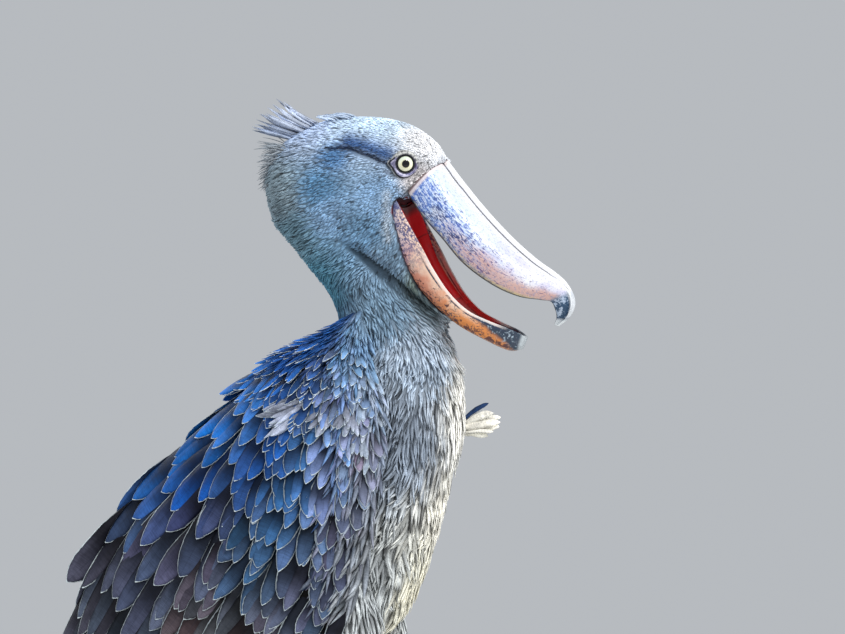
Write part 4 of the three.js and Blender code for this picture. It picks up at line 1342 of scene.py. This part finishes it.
def mouth_lining():
    ts = np.linspace(0.02, 0.84, 60)
    rings, s = half_sections(BILL_LOWER, ts, lining_controls)
    return new_mesh("mouth_lining", *closed(rings), {"form": bill_form(rings, s, ts)})


def eye(side):
    """form holds the place across the front of the ball in mm, and the angle from its middle."""
    centre, look = mirrored(EYE, side), unit(mirrored(EYE_LOOK, side))
    rings = ball_rings(centre, EYE_RADIUS, 64, 56, look)
    flat = (math.pi - np.linspace(0.02, math.pi - 0.02, 64))[:, None]
    # The clear front bulges a little.
    rings = rings + look * (0.9 * np.exp(-((flat / 0.62) ** 2)))[..., None]
    away = EYE_RADIUS * np.sin(flat)
    form = np.broadcast_arrays(away * np.cos(around(56)), away * np.sin(around(56)), flat)
    return new_mesh(sided("eye_ball", side), *closed(rings), {"form": np.stack(form, -1)})


# Rings of the lids: distance beyond the opening, share of the fold, height
LID_RINGS = [
    (-0.3, 0.0, -1.4), (-0.1, 0.0, 0.4), (0.4, 0.0, 1.0), (1.2, 0.0, 1.0), (1.6, 0.06, 0.1),
    (1.8, 0.3, 0.6), (1.9, 0.65, 0.8), (2.0, 0.94, 0.5), (2.6, 1.0, -0.1), (4.2, 1.05, 0.1),
    (5.6, 1.1, -3.6), (4.6, 0.9, -11.0), (-0.8, 0.0, -3.2),
]


def eyelid(side, seed=7):
    """The bare lids: a dark rim that hugs the eyeball, drawn out to a corner behind and one in front, and
    a paler fold below. form holds the share of the way out, how far below, and how dark."""
    rng = np.random.default_rng(seed)
    centre, look = mirrored(EYE, side), unit(mirrored(EYE_LOOK, side))
    across = -side * unit(np.cross(UP, look))
    up = unit(UP - look * (UP @ look))
    rim = math.sqrt(EYE_RADIUS**2 - LID_OPENING**2)
    count, sides = len(LID_RINGS), 96
    angle = around(sides)

    def near(direction, width):
        return np.exp(-((((np.degrees(angle) - direction + 180) % 360 - 180) / width) ** 2))

    # Angles run from the front (0) over the top (90) to the back (180). The fold is widest behind and below.
    fold = 0.5 + 2.6 * near(262, 56) + 3.9 * near(178, 15) + 1.8 * near(335, 26)
    below = np.maximum(near(258, 74), 0.9 * near(178, 26))
    dusk = np.maximum(near(352, 40), 0.75 * near(180, 34))
    wave = sum(rng.normal() * np.sin(k * angle + 6.28 * rng.random()) / k for k in range(3, 14))
    rings = []
    for i, (beyond, share, high) in enumerate(LID_RINGS):
        loose = float(step(i, 1, 5))
        spread = LID_OPENING + beyond + share * fold + 0.1 * wave * loose
        sunk = np.maximum(spread - LID_OPENING, 0) ** 2 * 0.05
        deep = rim + high - sunk * loose + (0.15 * wave + 0.9 * near(262, 70)) * loose
        flat = across * (spread * np.cos(angle))[:, None] + up * (spread * np.sin(angle))[:, None]
        rings.append(centre + look * deep[:, None] + flat)
    # The last ring joins the first.
    number = np.arange(count)[:, None]
    i, after, j = number * sides, (number + 1) % count * sides, np.arange(sides)
    k = (j + 1) % sides
    quads = np.stack([i + j, i + k, after + k, after + j], -1).reshape(-1, 4)[:, ::side]
    form = np.stack(np.broadcast_arrays(number / count, below, dusk), -1)
    obj = new_mesh(sided("eyelid", side), np.vstack(rings), quads.tolist(), {"form": form})
    modifier(obj, "SUBSURF", levels=1, render_levels=2)
    return obj


# Legs and feet

def shank(side):
    calf, ankle, foot = (leg_point(name, side) for name in ("calf", "ankle", "foot"))
    upper = [calf, mix(calf, ankle, 0.5), mix(ankle, calf, 0.16)]
    points = [*upper, ankle, mix(ankle, foot, 0.14), mix(ankle, foot, 0.5), foot]

    def scutes(t, angle):
        front = np.clip(np.sin(angle), 0, 1)
        ring = np.abs(np.sin(t * 120)) ** 0.5
        return 1 + 0.03 * front * (ring - 0.6) + 0.012 * np.sin(angle * 9 + t * 260)

    return new_mesh(sided("shank_skin", side), *closed(limb_rings(points, SHANK_RADII, 260, 40, scutes)))


def toes(side):
    """Skin and claws of one foot."""
    fx, fy, _ = leg_point("foot", side)
    skins, horns = [], []
    for aim, long, thick in TOES:
        aim = math.radians(aim) * side
        way = np.array([math.cos(aim), math.sin(aim), 0])
        points, radii = [], []
        for k in range(2 * TOE_JOINTS + 1):
            t = k / (2 * TOE_JOINTS)
            radius = thick * mix(1, 0.62, t) * (1.08 if k % 2 == 0 else 0.9)
            points.append(np.array([fx, fy, radius - 1.2 + 6 * (1 - t) ** 3]) + way * long * t)
            radii.append(radius)

        def scutes(t, angle):
            top = np.clip(np.sin(angle), 0, 1)
            return 1 + 0.05 * top * (np.abs(np.sin(t * long * 0.45)) ** 0.6 - 0.5)

        skins.append(limb_rings(points, radii, 110, 28, scutes))
        claw = []
        for t in (0, 0.35, 0.7, 1):
            claw.append(points[-1] + way * (CLAW * t - 3) + UP * (3 * math.sin(math.pi * t) - 3.4 * t + 0.5))
        horns.append(limb_rings(claw, [4.6, 4, 2.8, 0.8], 24, 20))
    skins.append(ball_rings(np.array([fx, fy, 15.0]), 16.6, 24, 32))
    for name, lofts in (("foot_skin", skins), ("claws", horns)):
        verts, faces = joined(lofts)
        verts[:, 2] = np.maximum(verts[:, 2], 0.0)
        yield new_mesh(sided(name, side), verts, faces)


# Materials of the bird

HORN = {"Roughness": 0.4, "Coat_Weight": 0.2, "Coat_Roughness": 0.3, "Specular_IOR_Level": 0.35}


def feather_material(
    name, shade, rough, streak=0.0, fringe=0.0, shaft=0.0, barbs=30.0, patch=(90.0, 0.3), sheen=0.0,
    fibre=0.2, shine=0.18,
):
    """shade: two places along the vane and its brightness at each; lower at the root is painted shade under
    the feathers above. fringe: width of the pale rim in mm.
    patch: how fine and how strong the uneven tone is."""
    m = Shader(name, Roughness=rough, Sheen_Weight=sheen, Sheen_Roughness=0.5, Specular_IOR_Level=shine)
    m.colour = m.attribute("tint")
    over, along, _ = m.split(m.add("ShaderNodeUVMap", {"uv_map": "vane"}))
    rim, own, other = m.numbers("form")
    across = abs(over * 2.0 - 1.0)
    patchy = m.noise(patch[0], 4.0, 0.65).ramp(0.3, 0.7, 1 - patch[1], 1 + patch[1])
    grain = m.noise(3.0, where=m.vector(across * 0.6 - along * barbs, over * 0.5, own * 50.0))
    # Painted shade towards the root of each vane, with uneven tone and barbs
    m.shade(along.ramp(*shade) * patchy * grain.ramp(0.3, 0.7, 1 - fibre, 1 + fibre))
    if streak:
        middle = (across / (own * 0.35 + 0.12)).ramp(0.5, 1.3, streak, 0.0)
        base = (along + other * 0.4).ramp(0.5, 1.2, 1.0, 0.0)
        pale = m.numbers("tint")[0].ramp(0.5, 0.85, 1.0, 0.3)
        m.lay(m.mix(1.0, m.colour, (0.1, 0.12, 0.17), "MULTIPLY"), middle * base * pale)
    if shaft:
        m.lay((0.01, 0.015, 0.03), across.ramp(0.0, 0.06, shaft, 0.0))
    if fringe:
        wavy = rim * m.noise(260.0, 2.0).ramp(0.3, 0.7, 0.75, 1.4)
        edge = wavy.ramp(0.55 * fringe, 1.1 * fringe, 1.0, 0.0)
        worn = m.noise(40.0, 2.0).ramp(0.34, 0.55, 0.6, 1.0)
        m.lay((0.85, 0.96, 1.0), edge * worn * along.ramp(0.3, 0.55))
    return m.finish(grain - across * 0.4, 0.25, 0.0006)


def skin_material():
    m = Shader("skin", Roughness=0.85, Specular_IOR_Level=0.25)
    m.colour = m.attribute("tint")
    m.shade(m.noise(220.0, 4.0) * 0.5 + 0.55)
    return m.finish(m.noise(500.0), 0.5, 0.0012)


def streaks(m, form, long, wide, warp=0.6):
    """Noise drawn out along the bill: long and wide are how many marks fit along and across it."""
    t, high, side = form
    return m.noise(1.0, 4.0, 0.62, warp, m.vector(t * long, high * wide, side * (wide * 0.4)))


def horn_upper_material():
    m = Shader("horn_upper", **HORN)
    t, high, side = form = m.numbers("form")
    groove, slit, _ = m.numbers("marks")
    soft = m.noise(26.0, 4.0, 0.6)
    m.colour = m.mix(soft.ramp(0.35, 0.65), (0.74, 0.74, 0.79), (0.56, 0.54, 0.68))
    m.lay((0.78, 0.78, 0.8), high.ramp(0.8, 0.95))
    m.lay((0.6, 0.68, 0.82), t.ramp(0.45, 0.15) * high.ramp(0.95, 0.75))
    # Pink-tan lower half beyond the base, yellowish right above the cutting edge
    tan = (soft * 0.5 - high).ramp(-0.32, -0.02) * t.ramp(0.08, 0.32) * t.ramp(0.76, 0.66)
    m.lay((0.62, 0.37, 0.31), tan * 0.9)
    m.lay((0.6, 0.5, 0.24), high.ramp(0.13, 0.05) * t.ramp(0.62, 0.5) * 0.8)
    # A soft blue wash and fine blue and violet marks, dense on the base, sparse above and farther out
    dense = t.ramp(0.5, 0.14) * high.ramp(0.9, 0.5)
    sparse = high.ramp(0.92, 0.5) * t.ramp(0.72, 0.6)
    m.lay((0.2, 0.38, 0.72), streaks(m, form, 26.0, 22.0, 1.2).ramp(0.45, 0.6) * dense * 0.65)
    fine = streaks(m, form, 52.0, 40.0, 1.0) * 0.62 + m.noise(260.0, 5.0, 0.7, 0.5) * 0.38
    mottle = (fine + dense * 0.085 + sparse * 0.065).ramp(0.632, 0.664)
    hue = m.noise(70.0)
    blue = m.mix(hue.ramp(0.4, 0.6), (0.002, 0.018, 0.13), (0.012, 0.09, 0.42))
    m.lay(m.mix((hue * 0.5 + t).ramp(0.42, 0.66) * 0.9, blue, (0.1, 0.05, 0.16)), mottle * 0.93)
    m.lay((0.2, 0.24, 0.42), m.noise(420.0, 3.0, 0.6).ramp(0.53, 0.64) * high.ramp(1.0, 0.86) * 0.5)
    # A cream edge with a dark line where the feathers end
    m.lay((0.7, 0.6, 0.58), t.ramp(0.024, 0.014) * 0.8)
    m.lay((0.1, 0.05, 0.05), t.ramp(0.01, 0.005) * 0.85)
    # The hook is dark blue-green with worn pale patches, a pale rim and a pale tip
    hook = (soft * 0.08 + t).ramp(0.7, 0.78)
    dark = m.noise(200.0, 5.0, 0.7).ramp(0.5, 0.6)
    m.lay((0.4, 0.52, 0.66), hook * 0.8)
    m.lay((0.003, 0.04, 0.1), hook * (dark * -0.85 + 0.97))
    m.lay((0.78, 0.8, 0.82), hook * high.ramp(0.78, 0.9) * t.ramp(0.95, 0.88) * 0.75)
    m.lay((0.66, 0.7, 0.72), hook * t.ramp(0.9, 0.95))
    # Dark cutting edge, dark red palate, and painted shade in the groove and in the nostril slit
    aside = abs(side)
    m.lay((0.012, 0.035, 0.05), high.ramp(0.05, 0.02) * aside.ramp(0.8, 0.88) * 0.92)
    m.lay((0.2, 0.05, 0.05), aside.ramp(0.88, 0.82) * high.ramp(0.4, 0.3))
    m.lay((0.012, 0.014, 0.03), groove.ramp(0.15, 0.6) * 0.93)
    m.lay((0.006, 0.006, 0.01), slit.ramp(0.2, 0.6))
    return m.finish(mottle * 0.2 + streaks(m, form, 20.0, 60.0), 0.25, rough=soft.ramp(0.2, 0.8, 0.34, 0.5))


def horn_lower_material():
    m = Shader("horn_lower", **HORN)
    t, high, side = form = m.numbers("form")
    soft = m.noise(40.0, 4.0, 0.6)
    m.colour = m.mix(t.ramp(0.18, 0.42), (0.62, 0.52, 0.58), (0.62, 0.24, 0.15))
    m.lay((0.66, 0.23, 0.055), t.ramp(0.45, 0.66))
    m.lay((0.8, 0.6, 0.46), (high * 0.5 + soft).ramp(0.62, 0.9) * t.ramp(0.78, 0.66) * 0.8)
    m.lay((0.2, 0.22, 0.3), t.ramp(0.12, 0.03))
    # Fine blue marks near the base, rusty ones along the lower edge, and dark cracks
    fine = streaks(m, form, 70.0, 16.0) * 0.5 + m.noise(280.0, 5.0, 0.7, 0.5) * 0.5
    m.lay((0.03, 0.04, 0.17), fine.ramp(0.47, 0.52) * t.ramp(0.46, 0.24) * 0.9)
    rusty = (high.ramp(0.5, 0.05) * 0.13 + m.noise(200.0, 5.0, 0.65, 0.6)).ramp(0.61, 0.65)
    m.lay((0.07, 0.016, 0.02), rusty * 0.9)
    cracks = m.noise(1.0, 3.0, 0.5, 1.6, m.vector(t * 26.0, high * 3.5, side))
    line = abs(cracks - 0.5).ramp(0.035, 0.012) * t.ramp(0.46, 0.58) * soft.ramp(0.4, 0.5)
    m.lay((0.012, 0.03, 0.06), line * 0.9)
    # A dark end with worn pale patches
    end = (high * 0.22 + soft * 0.12 + t).ramp(0.93, 1.01)
    m.lay((0.004, 0.03, 0.06), end * 0.97)
    m.lay((0.42, 0.52, 0.6), end * m.noise(240.0, 5.0, 0.7).ramp(0.54, 0.66) * 0.75)
    m.lay((0.55, 0.6, 0.62), t.ramp(0.955, 0.99) * 0.7)
    # A pale band along the rim, with a dark line below it and a red one inside
    out = t.ramp(0.88, 0.8) * t.ramp(0.3, 0.44)
    m.lay((0.78, 0.7, 0.66), high.ramp(0.86, 0.92) * out * 0.8)
    m.lay((0.02, 0.03, 0.07), abs(high - 0.82).ramp(0.045, 0.015) * out * soft.ramp(0.35, 0.5))
    m.lay((0.8, 0.03, 0.025), abs(side).ramp(0.92, 0.9) * high.ramp(0.24, 0.32) * t.ramp(0.82, 0.72))
    return m.finish(rusty * 0.3 + m.noise(150.0, 4.0), 0.3, rough=soft.ramp(0.2, 0.8, 0.34, 0.5))


def mouth_material():
    m = Shader("mouth", Roughness=0.5, Coat_Weight=0.08, Specular_IOR_Level=0.3)
    t, high, _ = m.numbers("form")
    m.colour = m.mix(m.noise(35.0).ramp(0.45, 0.75), (1.0, 0.012, 0.02), (0.9, 0.008, 0.015))
    m.lay((0.2, 0.008, 0.01), t.ramp(0.11, 0.05))
    # Dark bands across the lining, painted shade in its folds
    m.lay((0.1, 0.008, 0.01), m.noise(1.0, 2.0, where=m.vector(t * 22.0, high)).ramp(0.6, 0.72) * 0.7)
    m.lay((0.42, 0.1, 0.09), t.ramp(0.5, 0.66))
    return m.finish(m.noise(160.0), 0.35, 0.0015)


def eye_material():
    m = Shader("eye", Roughness=0.3, Coat_Weight=0.6, Coat_Roughness=0.03, Specular_IOR_Level=0.1)
    x, y, polar = m.numbers("form")
    radius = m.math("SQRT", x * x + y * y, 0.0)
    spokes = m.noise(9.0, where=m.vector(m.math("ARCTAN2", y, x), radius * 0.05))
    m.colour = m.mix(spokes.ramp(0.3, 0.7), (0.78, 0.76, 0.5), (0.88, 0.87, 0.7))
    # Painted shadow of the upper lid: the upper part of the iris darker and cooler
    m.lay((0.5, 0.6, 0.56), y.ramp(-3.0, 8.0) * 0.7)
    m.lay((0.5, 0.55, 0.3), radius.ramp(7.6, 8.5) * 0.6)
    m.lay((0.5, 0.44, 0.2), radius.ramp(6.2, 4.6) * 0.45)
    m.lay((0.004, 0.004, 0.005), radius.ramp(4.6, 4.2))
    m.lay((0.012, 0.012, 0.014), radius.ramp(8.2, 8.7))
    m.lay((0.02, 0.02, 0.02), polar.ramp(1.5, 1.6))
    return m.finish()


def lid_material():
    m = Shader("eyelid", Roughness=0.5)
    ring, below, dusk = m.numbers("form")
    soft = m.noise(300.0, 4.0)
    # A black rim, a violet-grey fold behind and below with a black line round it, and grey skin beyond
    beyond = m.mix(soft.ramp(0.35, 0.6), (0.05, 0.055, 0.06), (0.5, 0.5, 0.48))
    violet = m.mix(soft.ramp(0.35, 0.65), (0.16, 0.16, 0.32), (0.66, 0.64, 0.8))
    low = below.ramp(0.1, 0.3)
    m.colour = m.mix(low, beyond, m.mix(ring.ramp(0.66, 0.7), violet, beyond))
    m.lay((0.03, 0.02, 0.08), dusk * ring.ramp(0.62, 0.42))
    line = abs(ring - 0.635).ramp(0.07, 0.05) * low
    m.lay((0.008, 0.008, 0.016), m.math("MAXIMUM", ring.ramp(0.31, 0.26), line))
    return m.finish(m.noise(420.0, 4.0), 0.5)


def leg_material():
    m = Shader("leg_skin", Roughness=0.6)
    flat = m.add("ShaderNodeVectorMath", {"operation": "MULTIPLY"}, i0=m.where, i1=(1, 1, 0.7))
    cells = m.add("ShaderNodeTexVoronoi", {"feature": "DISTANCE_TO_EDGE"}, Vector=flat, Scale=260.0)
    scale = cells.ramp(0.0, 0.12)
    m.colour = m.mix(scale, (0.035, 0.04, 0.045), (0.12, 0.135, 0.15))
    m.lay((0.2, 0.21, 0.21), m.noise(30.0).ramp(0.4, 0.7) * 0.5)
    return m.finish(scale, 0.5, 0.0012, scale.ramp(0.0, 1.0, 0.8, 0.55))


def claw_material():
    m = Shader("claw", Roughness=0.35, Coat_Weight=0.2)
    m.colour = m.mix(m.noise(80.0, 4.0), (0.012, 0.012, 0.014), (0.06, 0.055, 0.05))
    return m.finish(m.noise(200.0, 2.0), 0.2, 0.0008)


# Assembly: the skin

skin_mesh = build_skin()
skin_points = own_frame(vectors(skin_mesh, "co"))
skin_mesh.calc_loop_triangles()
triangles = np.empty(len(skin_mesh.loop_triangles) * 3, np.int32)
skin_mesh.loop_triangles.foreach_get("vertices", triangles)
coat = Coat(triangles.reshape(-1, 3), skin_points, vectors(skin_mesh, "normal"))

room_verts, room_faces = closed(room_rings(2.2))
room_tree = surface_tree(room_verts, room_faces)


def inside_mouth(points):
    """Whether a point lies in the room of mouth and lower bill, with a little to spare."""
    found = np.zeros(len(points), bool)
    near = np.all((points > room_verts.min(0)) & (points < room_verts.max(0)), axis=1)
    for i in np.nonzero(near)[0]:
        hit, normal, _, _ = room_tree.find_nearest(Vector(points[i]))
        found[i] = (Vector(points[i]) - hit).dot(normal) < 0
    return found


# Between the feathers the skin is painted darker than they are, as the shade under them. Red skin starts
# above the corner of the mouth.
SKIN_SHADE, GAPE_HEIGHT, GAPE_HALF = 0.7, 1036, 43

skin_tint = plumage(skin_points) * SKIN_SHADE
mouth = inside_mouth(skin_points)
gape = mouth & (skin_points[:, 2] > GAPE_HEIGHT) & (np.abs(skin_points[:, 1]) < GAPE_HALF)
# Inside the mouth the skin is painted near black, as the shade there
skin_tint[mouth] = (0.04, 0.04, 0.06)
skin_tint[gape] = (0.22, 0.008, 0.01)
store(skin_mesh, "tint", skin_tint)
skin_mesh.polygons.foreach_set("use_smooth", np.full(len(skin_mesh.polygons), True))
dressed = ["torso", "neck", "head", "thigh_left", "thigh_right"]
piece(linked("skin", skin_mesh), skin_material(), dressed)

# Assembly: the coats. Each gap is how far apart the roots of one coat are, and 0 where it doesn't grow.

LID_REACH = 11.2
FACE_END = 30  # the face's coat grows before this x, the nape's behind it
BREAST_TOP = 920  # at x = 0


def eye_clear(p):
    """How far a root lies beyond the lids, which reach farther below, behind and in front. Before the eye
    feathers point at it, so their roots lie a feather's length farther."""
    away = (folded(p) - EYE) / np.maximum(eye_reach(p), 1)[:, None]
    below, behind, front = (np.clip(share, 0, 1) for share in (-away[:, 2], -away[:, 0], away[:, 0]))
    pointing = np.clip(0.8 * away[:, 0] - 0.6 * away[:, 2], 0, 1)
    return eye_reach(p) - 4.6 * below**2 - 3.2 * behind**6 - 1.8 * front**2 - 1.4 * pointing


def on_head(p):
    """Whether a root is on head or throat, by height and distance from the bill."""
    return step(p[:, 2] - (1030 - 0.82 * (p[:, 0] - 44)), -8, 8) > 0.5


def allowed(p):
    return on_head(p) & ~inside_mouth(p) & (eye_clear(p) > LID_REACH)


def face_gap(p):
    return np.where(allowed(p) & (p[:, 0] > FACE_END), mix(1.5, 2.2, step(face_far(p), 45, 120)), 0)


def nape_gap(p):
    return np.where(allowed(p) & (p[:, 0] <= FACE_END), 2.35, 0)


def neck_gap(p):
    gap = mix(2.25, 3.1, step(1000 - p[:, 2], 0, 90))
    return np.where(~on_head(p) & (p[:, 2] > BREAST_TOP - 15 - 0.15 * p[:, 0]), gap, 0)


def breast_gap(p):
    front = p[:, 0] > mix(-20, 40, step(900 - p[:, 2], 0, 100)) - 10
    gap = mix(4.5, 3.4, step(p[:, 2], 760, 870))
    return np.where((p[:, 2] <= BREAST_TOP - 0.15 * p[:, 0]) & (p[:, 2] > 640) & front, gap, 0)


def belly_gap(p):
    rest = (p[:, 2] <= 660) | ((p[:, 0] < 60) & (p[:, 2] < 720))
    return np.where(rest & (p[:, 2] > 500), 6.4, 0)


def thigh_gap(p):
    return np.where(p[:, 2] <= 520, 5.0, 0)


def back_gap(p):
    return np.where((p[:, 2] > 640) & (p[:, 0] < 0.35 * (p[:, 2] - 700) - 40) & (p[:, 2] < 925), 15.0, 0)


def level(value):
    return lambda p: np.full(len(p), float(value))


def ramp(low, high, start, end, by):
    """A function of the roots that goes from low to high as by(roots) goes from start to end."""
    return lambda p: mix(low, high, step(by(p), start, end))


def ahead_of(p):
    return p[:, 0]


def height_of(p):
    return p[:, 2]


THROAT_END = np.array([176.0, 0.0, 936.0])


def face_fleck(p):
    """Dark feathers are many between eye and bill and on the brow."""
    return 0.06 + 0.34 * near_point(p, [126, 44, 1098], 15) + 0.16 * near_point(p, [128, 34, 1138], 20)


def neck_long(p):
    """The neck's feathers grow longer downwards, but stay short round the end of the throat."""
    return mix(12, 20, step(height_of(p), 1000, 910)) * (1 - 0.6 * near_point(p, THROAT_END, 30))


head_plumes = feather_material(
    "head_plumes", (0.0, 0.7, 0.82, 1.1), 0.85, barbs=8.0, patch=(34.0, 0.24), sheen=0.1, fibre=0.1,
)
soft_plumes = feather_material(
    "soft_plumes", (0.1, 0.9, 0.55, 1.2), 0.85, streak=0.4, barbs=14.0, patch=(90.0, 0.26),
)
neck_plumes = feather_material(
    "neck_plumes", (0.1, 0.9, 0.7, 1.12), 0.85, streak=0.2, barbs=14.0, patch=(70.0, 0.26),
)
breast_plumes = feather_material(
    "breast_plumes", (0.1, 0.9, 0.62, 1.15), 0.9, streak=0.4, patch=(45.0, 0.3), shine=0.06,
)
blue_vanes = feather_material(
    "blue_vanes", (0.5, 0.97, 0.16, 1.35), 0.6, fringe=1.15, shaft=0.3, barbs=60.0, patch=(50.0, 0.25),
    shine=0.1,
)
ruffled = feather_material(
    "ruffled", (0.3, 0.95, 0.18, 1.3), 0.75, fringe=0.8, shaft=0.3, barbs=40.0, patch=(90.0, 0.3), shine=0.1,
)

piece(coat.grow(
    "coat_face", face_gap, "tuft", 3, ramp(4.4, 9.0, 42, 120, face_far), ramp(1.1, 1.75, 42, 120, face_far),
    ramp(0.5, 1.1, 42, 120, face_far), thick=0.28, sides=3, sink=0.5, vary=0.4, lock=(6.0, 0.15),
    fleck=face_fleck,
), head_plumes)
piece(coat.grow(
    "coat_nape", nape_gap, "tuft", 5, ramp(10, 15, 30, -50, ahead_of), ramp(1.6, 1.8, 30, -50, ahead_of),
    ramp(1.2, 2.6, 30, -50, ahead_of), thick=0.32, sides=3, turn=12, sink=0.8, vary=0.35, lock=(8.0, 0.3),
    fleck=0.03,
), head_plumes)
piece(coat.grow(
    "coat_neck", neck_gap, "tuft", 7, neck_long, ramp(1.5, 2.0, 1000, 910, height_of),
    ramp(1.6, 3.0, 1000, 910, height_of), thick=0.35, sides=3, turn=14, sink=0.8, vary=0.4, lock=(9.0, 0.3),
    fleck=0.03,
), neck_plumes)
piece(coat.grow(
    "coat_breast", breast_gap, "lance", 11, ramp(20, 44, 910, 760, height_of),
    ramp(1.8, 2.9, 910, 760, height_of), ramp(2.6, 5.0, 910, 800, height_of),
    turn=19, sink=1.5, ragged=0.5, vary=0.5, lock=(16.0, 0.5), fleck=0.08,
), breast_plumes)
piece(coat.grow(
    "coat_belly", belly_gap, "lance", 13, level(44), level(3.6), level(7.0),
    turn=14, sink=1.5, ragged=0.35, vary=0.4, lock=(18.0, 0.5),
), soft_plumes)
piece(coat.grow(
    "coat_thighs", thigh_gap, "lance", 17, level(26), level(2.5), level(4.0), turn=12, lock=(12.0, 0.4),
), soft_plumes)
piece(coat.grow(
    "coat_back", back_gap, "round", 19, level(56), level(10.5), level(5.0),
    sides=8, turn=10, sink=2.0, ragged=0.15, camber=0.2,
), blue_vanes)
piece(crest(CREST_COUNT, 23), head_plumes)
piece(breast_tuft(29), neck_plumes)

for side in (1, -1):
    piece(wing_feathers(side, 51 + side), blue_vanes, [sided("wing", side)])
    piece(wing_cape(side, 61 + side), ruffled)
    piece(wing_mantle(side, 81 + side), soft_plumes)
    piece(wing_flank(side, 71 + side), breast_plumes)
    piece(wing_bed(side), skin_material())
piece(tail_feathers(41), blue_vanes, ["tail"])

# Assembly: bill, mouth, eyes, legs

piece(bill_upper(), horn_upper_material(), ["bill_upper"])
piece(bill_lower(), horn_lower_material(), ["bill_lower"])
piece(mouth_lining(), mouth_material())
scales, horn, glass, lids = leg_material(), claw_material(), eye_material(), lid_material()
for side in (1, -1):
    piece(eye(side), glass, [sided("eye", side)])
    piece(eyelid(side), lids)
    piece(shank(side), scales, [sided("shank", side)])
    foot, claws = toes(side)
    piece(foot, scales, [sided("foot", side)])
    piece(claws, horn)

# Floor, light and camera

AZIMUTH = math.radians(14.0)
LOOK = Vector((-math.sin(AZIMUTH), math.cos(AZIMUTH), 0))
RIGHT = Vector((math.cos(AZIMUTH), math.sin(AZIMUTH), 0))
CAMERA_AWAY, CAMERA_LENS = 7.0, 259.3
AIM = Vector((BOX_SHIFT * MM, 0, 0.94455)) + RIGHT * 0.1248
MIDDLE = Vector((0.05, 0, 0.85))

FLOOR_RADIUS, FLOOR_CORNERS = 8, 96

floor_mesh = bpy.data.meshes.new("floor")
ring = [(FLOOR_RADIUS * math.cos(a), FLOOR_RADIUS * math.sin(a), 0) for a in around(FLOOR_CORNERS)]
floor_mesh.from_pydata(ring, [], [list(range(FLOOR_CORNERS))])
floor = linked("floor", floor_mesh)
paint = Shader("floor_paint", Roughness=0.9)
paint.colour = paint.mix(paint.noise(3.0), (0.74, 0.74, 0.73), (0.78, 0.78, 0.77))
floor_mesh.materials.append(paint.finish())

camera_data = bpy.data.cameras.new("camera")
camera_data.lens = CAMERA_LENS
camera_data.sensor_width = 36.0
camera_data.clip_end = 60.0
camera = linked("camera", camera_data)
camera.location = AIM - LOOK * CAMERA_AWAY
camera.rotation_euler = (math.pi / 2, 0, AZIMUTH)
bpy.context.scene.camera = camera


def soft_light(name, away, size, power):
    """A square light, placed away from the middle of the bird (right, near, up) and turned to it."""
    data = bpy.data.lights.new(name, "AREA")
    data.size, data.energy = size, power
    lamp = linked(name, data)
    place = RIGHT * away[0] - LOOK * away[1] + Vector((0, 0, away[2]))
    lamp.location = MIDDLE + place
    lamp.rotation_euler = (-place).to_track_quat("-Z", "Y").to_euler()


soft_light("key", (1.5, 1.9, 2.7), 1.0, 112)
soft_light("fill", (-2.6, 2.4, 0.8), 2.4, 22)
soft_light("front", (2.8, 0.9, -0.1), 1.4, 22)
soft_light("back", (-1.4, -2.4, 2.2), 1.6, 50)

world = bpy.data.worlds.new("studio")
world.use_nodes = True
world.node_tree.nodes["Background"].inputs[0].default_value = (0.86, 0.9, 0.95, 1)
world.node_tree.nodes["Background"].inputs[1].default_value = 0.55
bpy.context.scene.world = world
bpy.context.scene.view_settings.view_transform = "Standard"
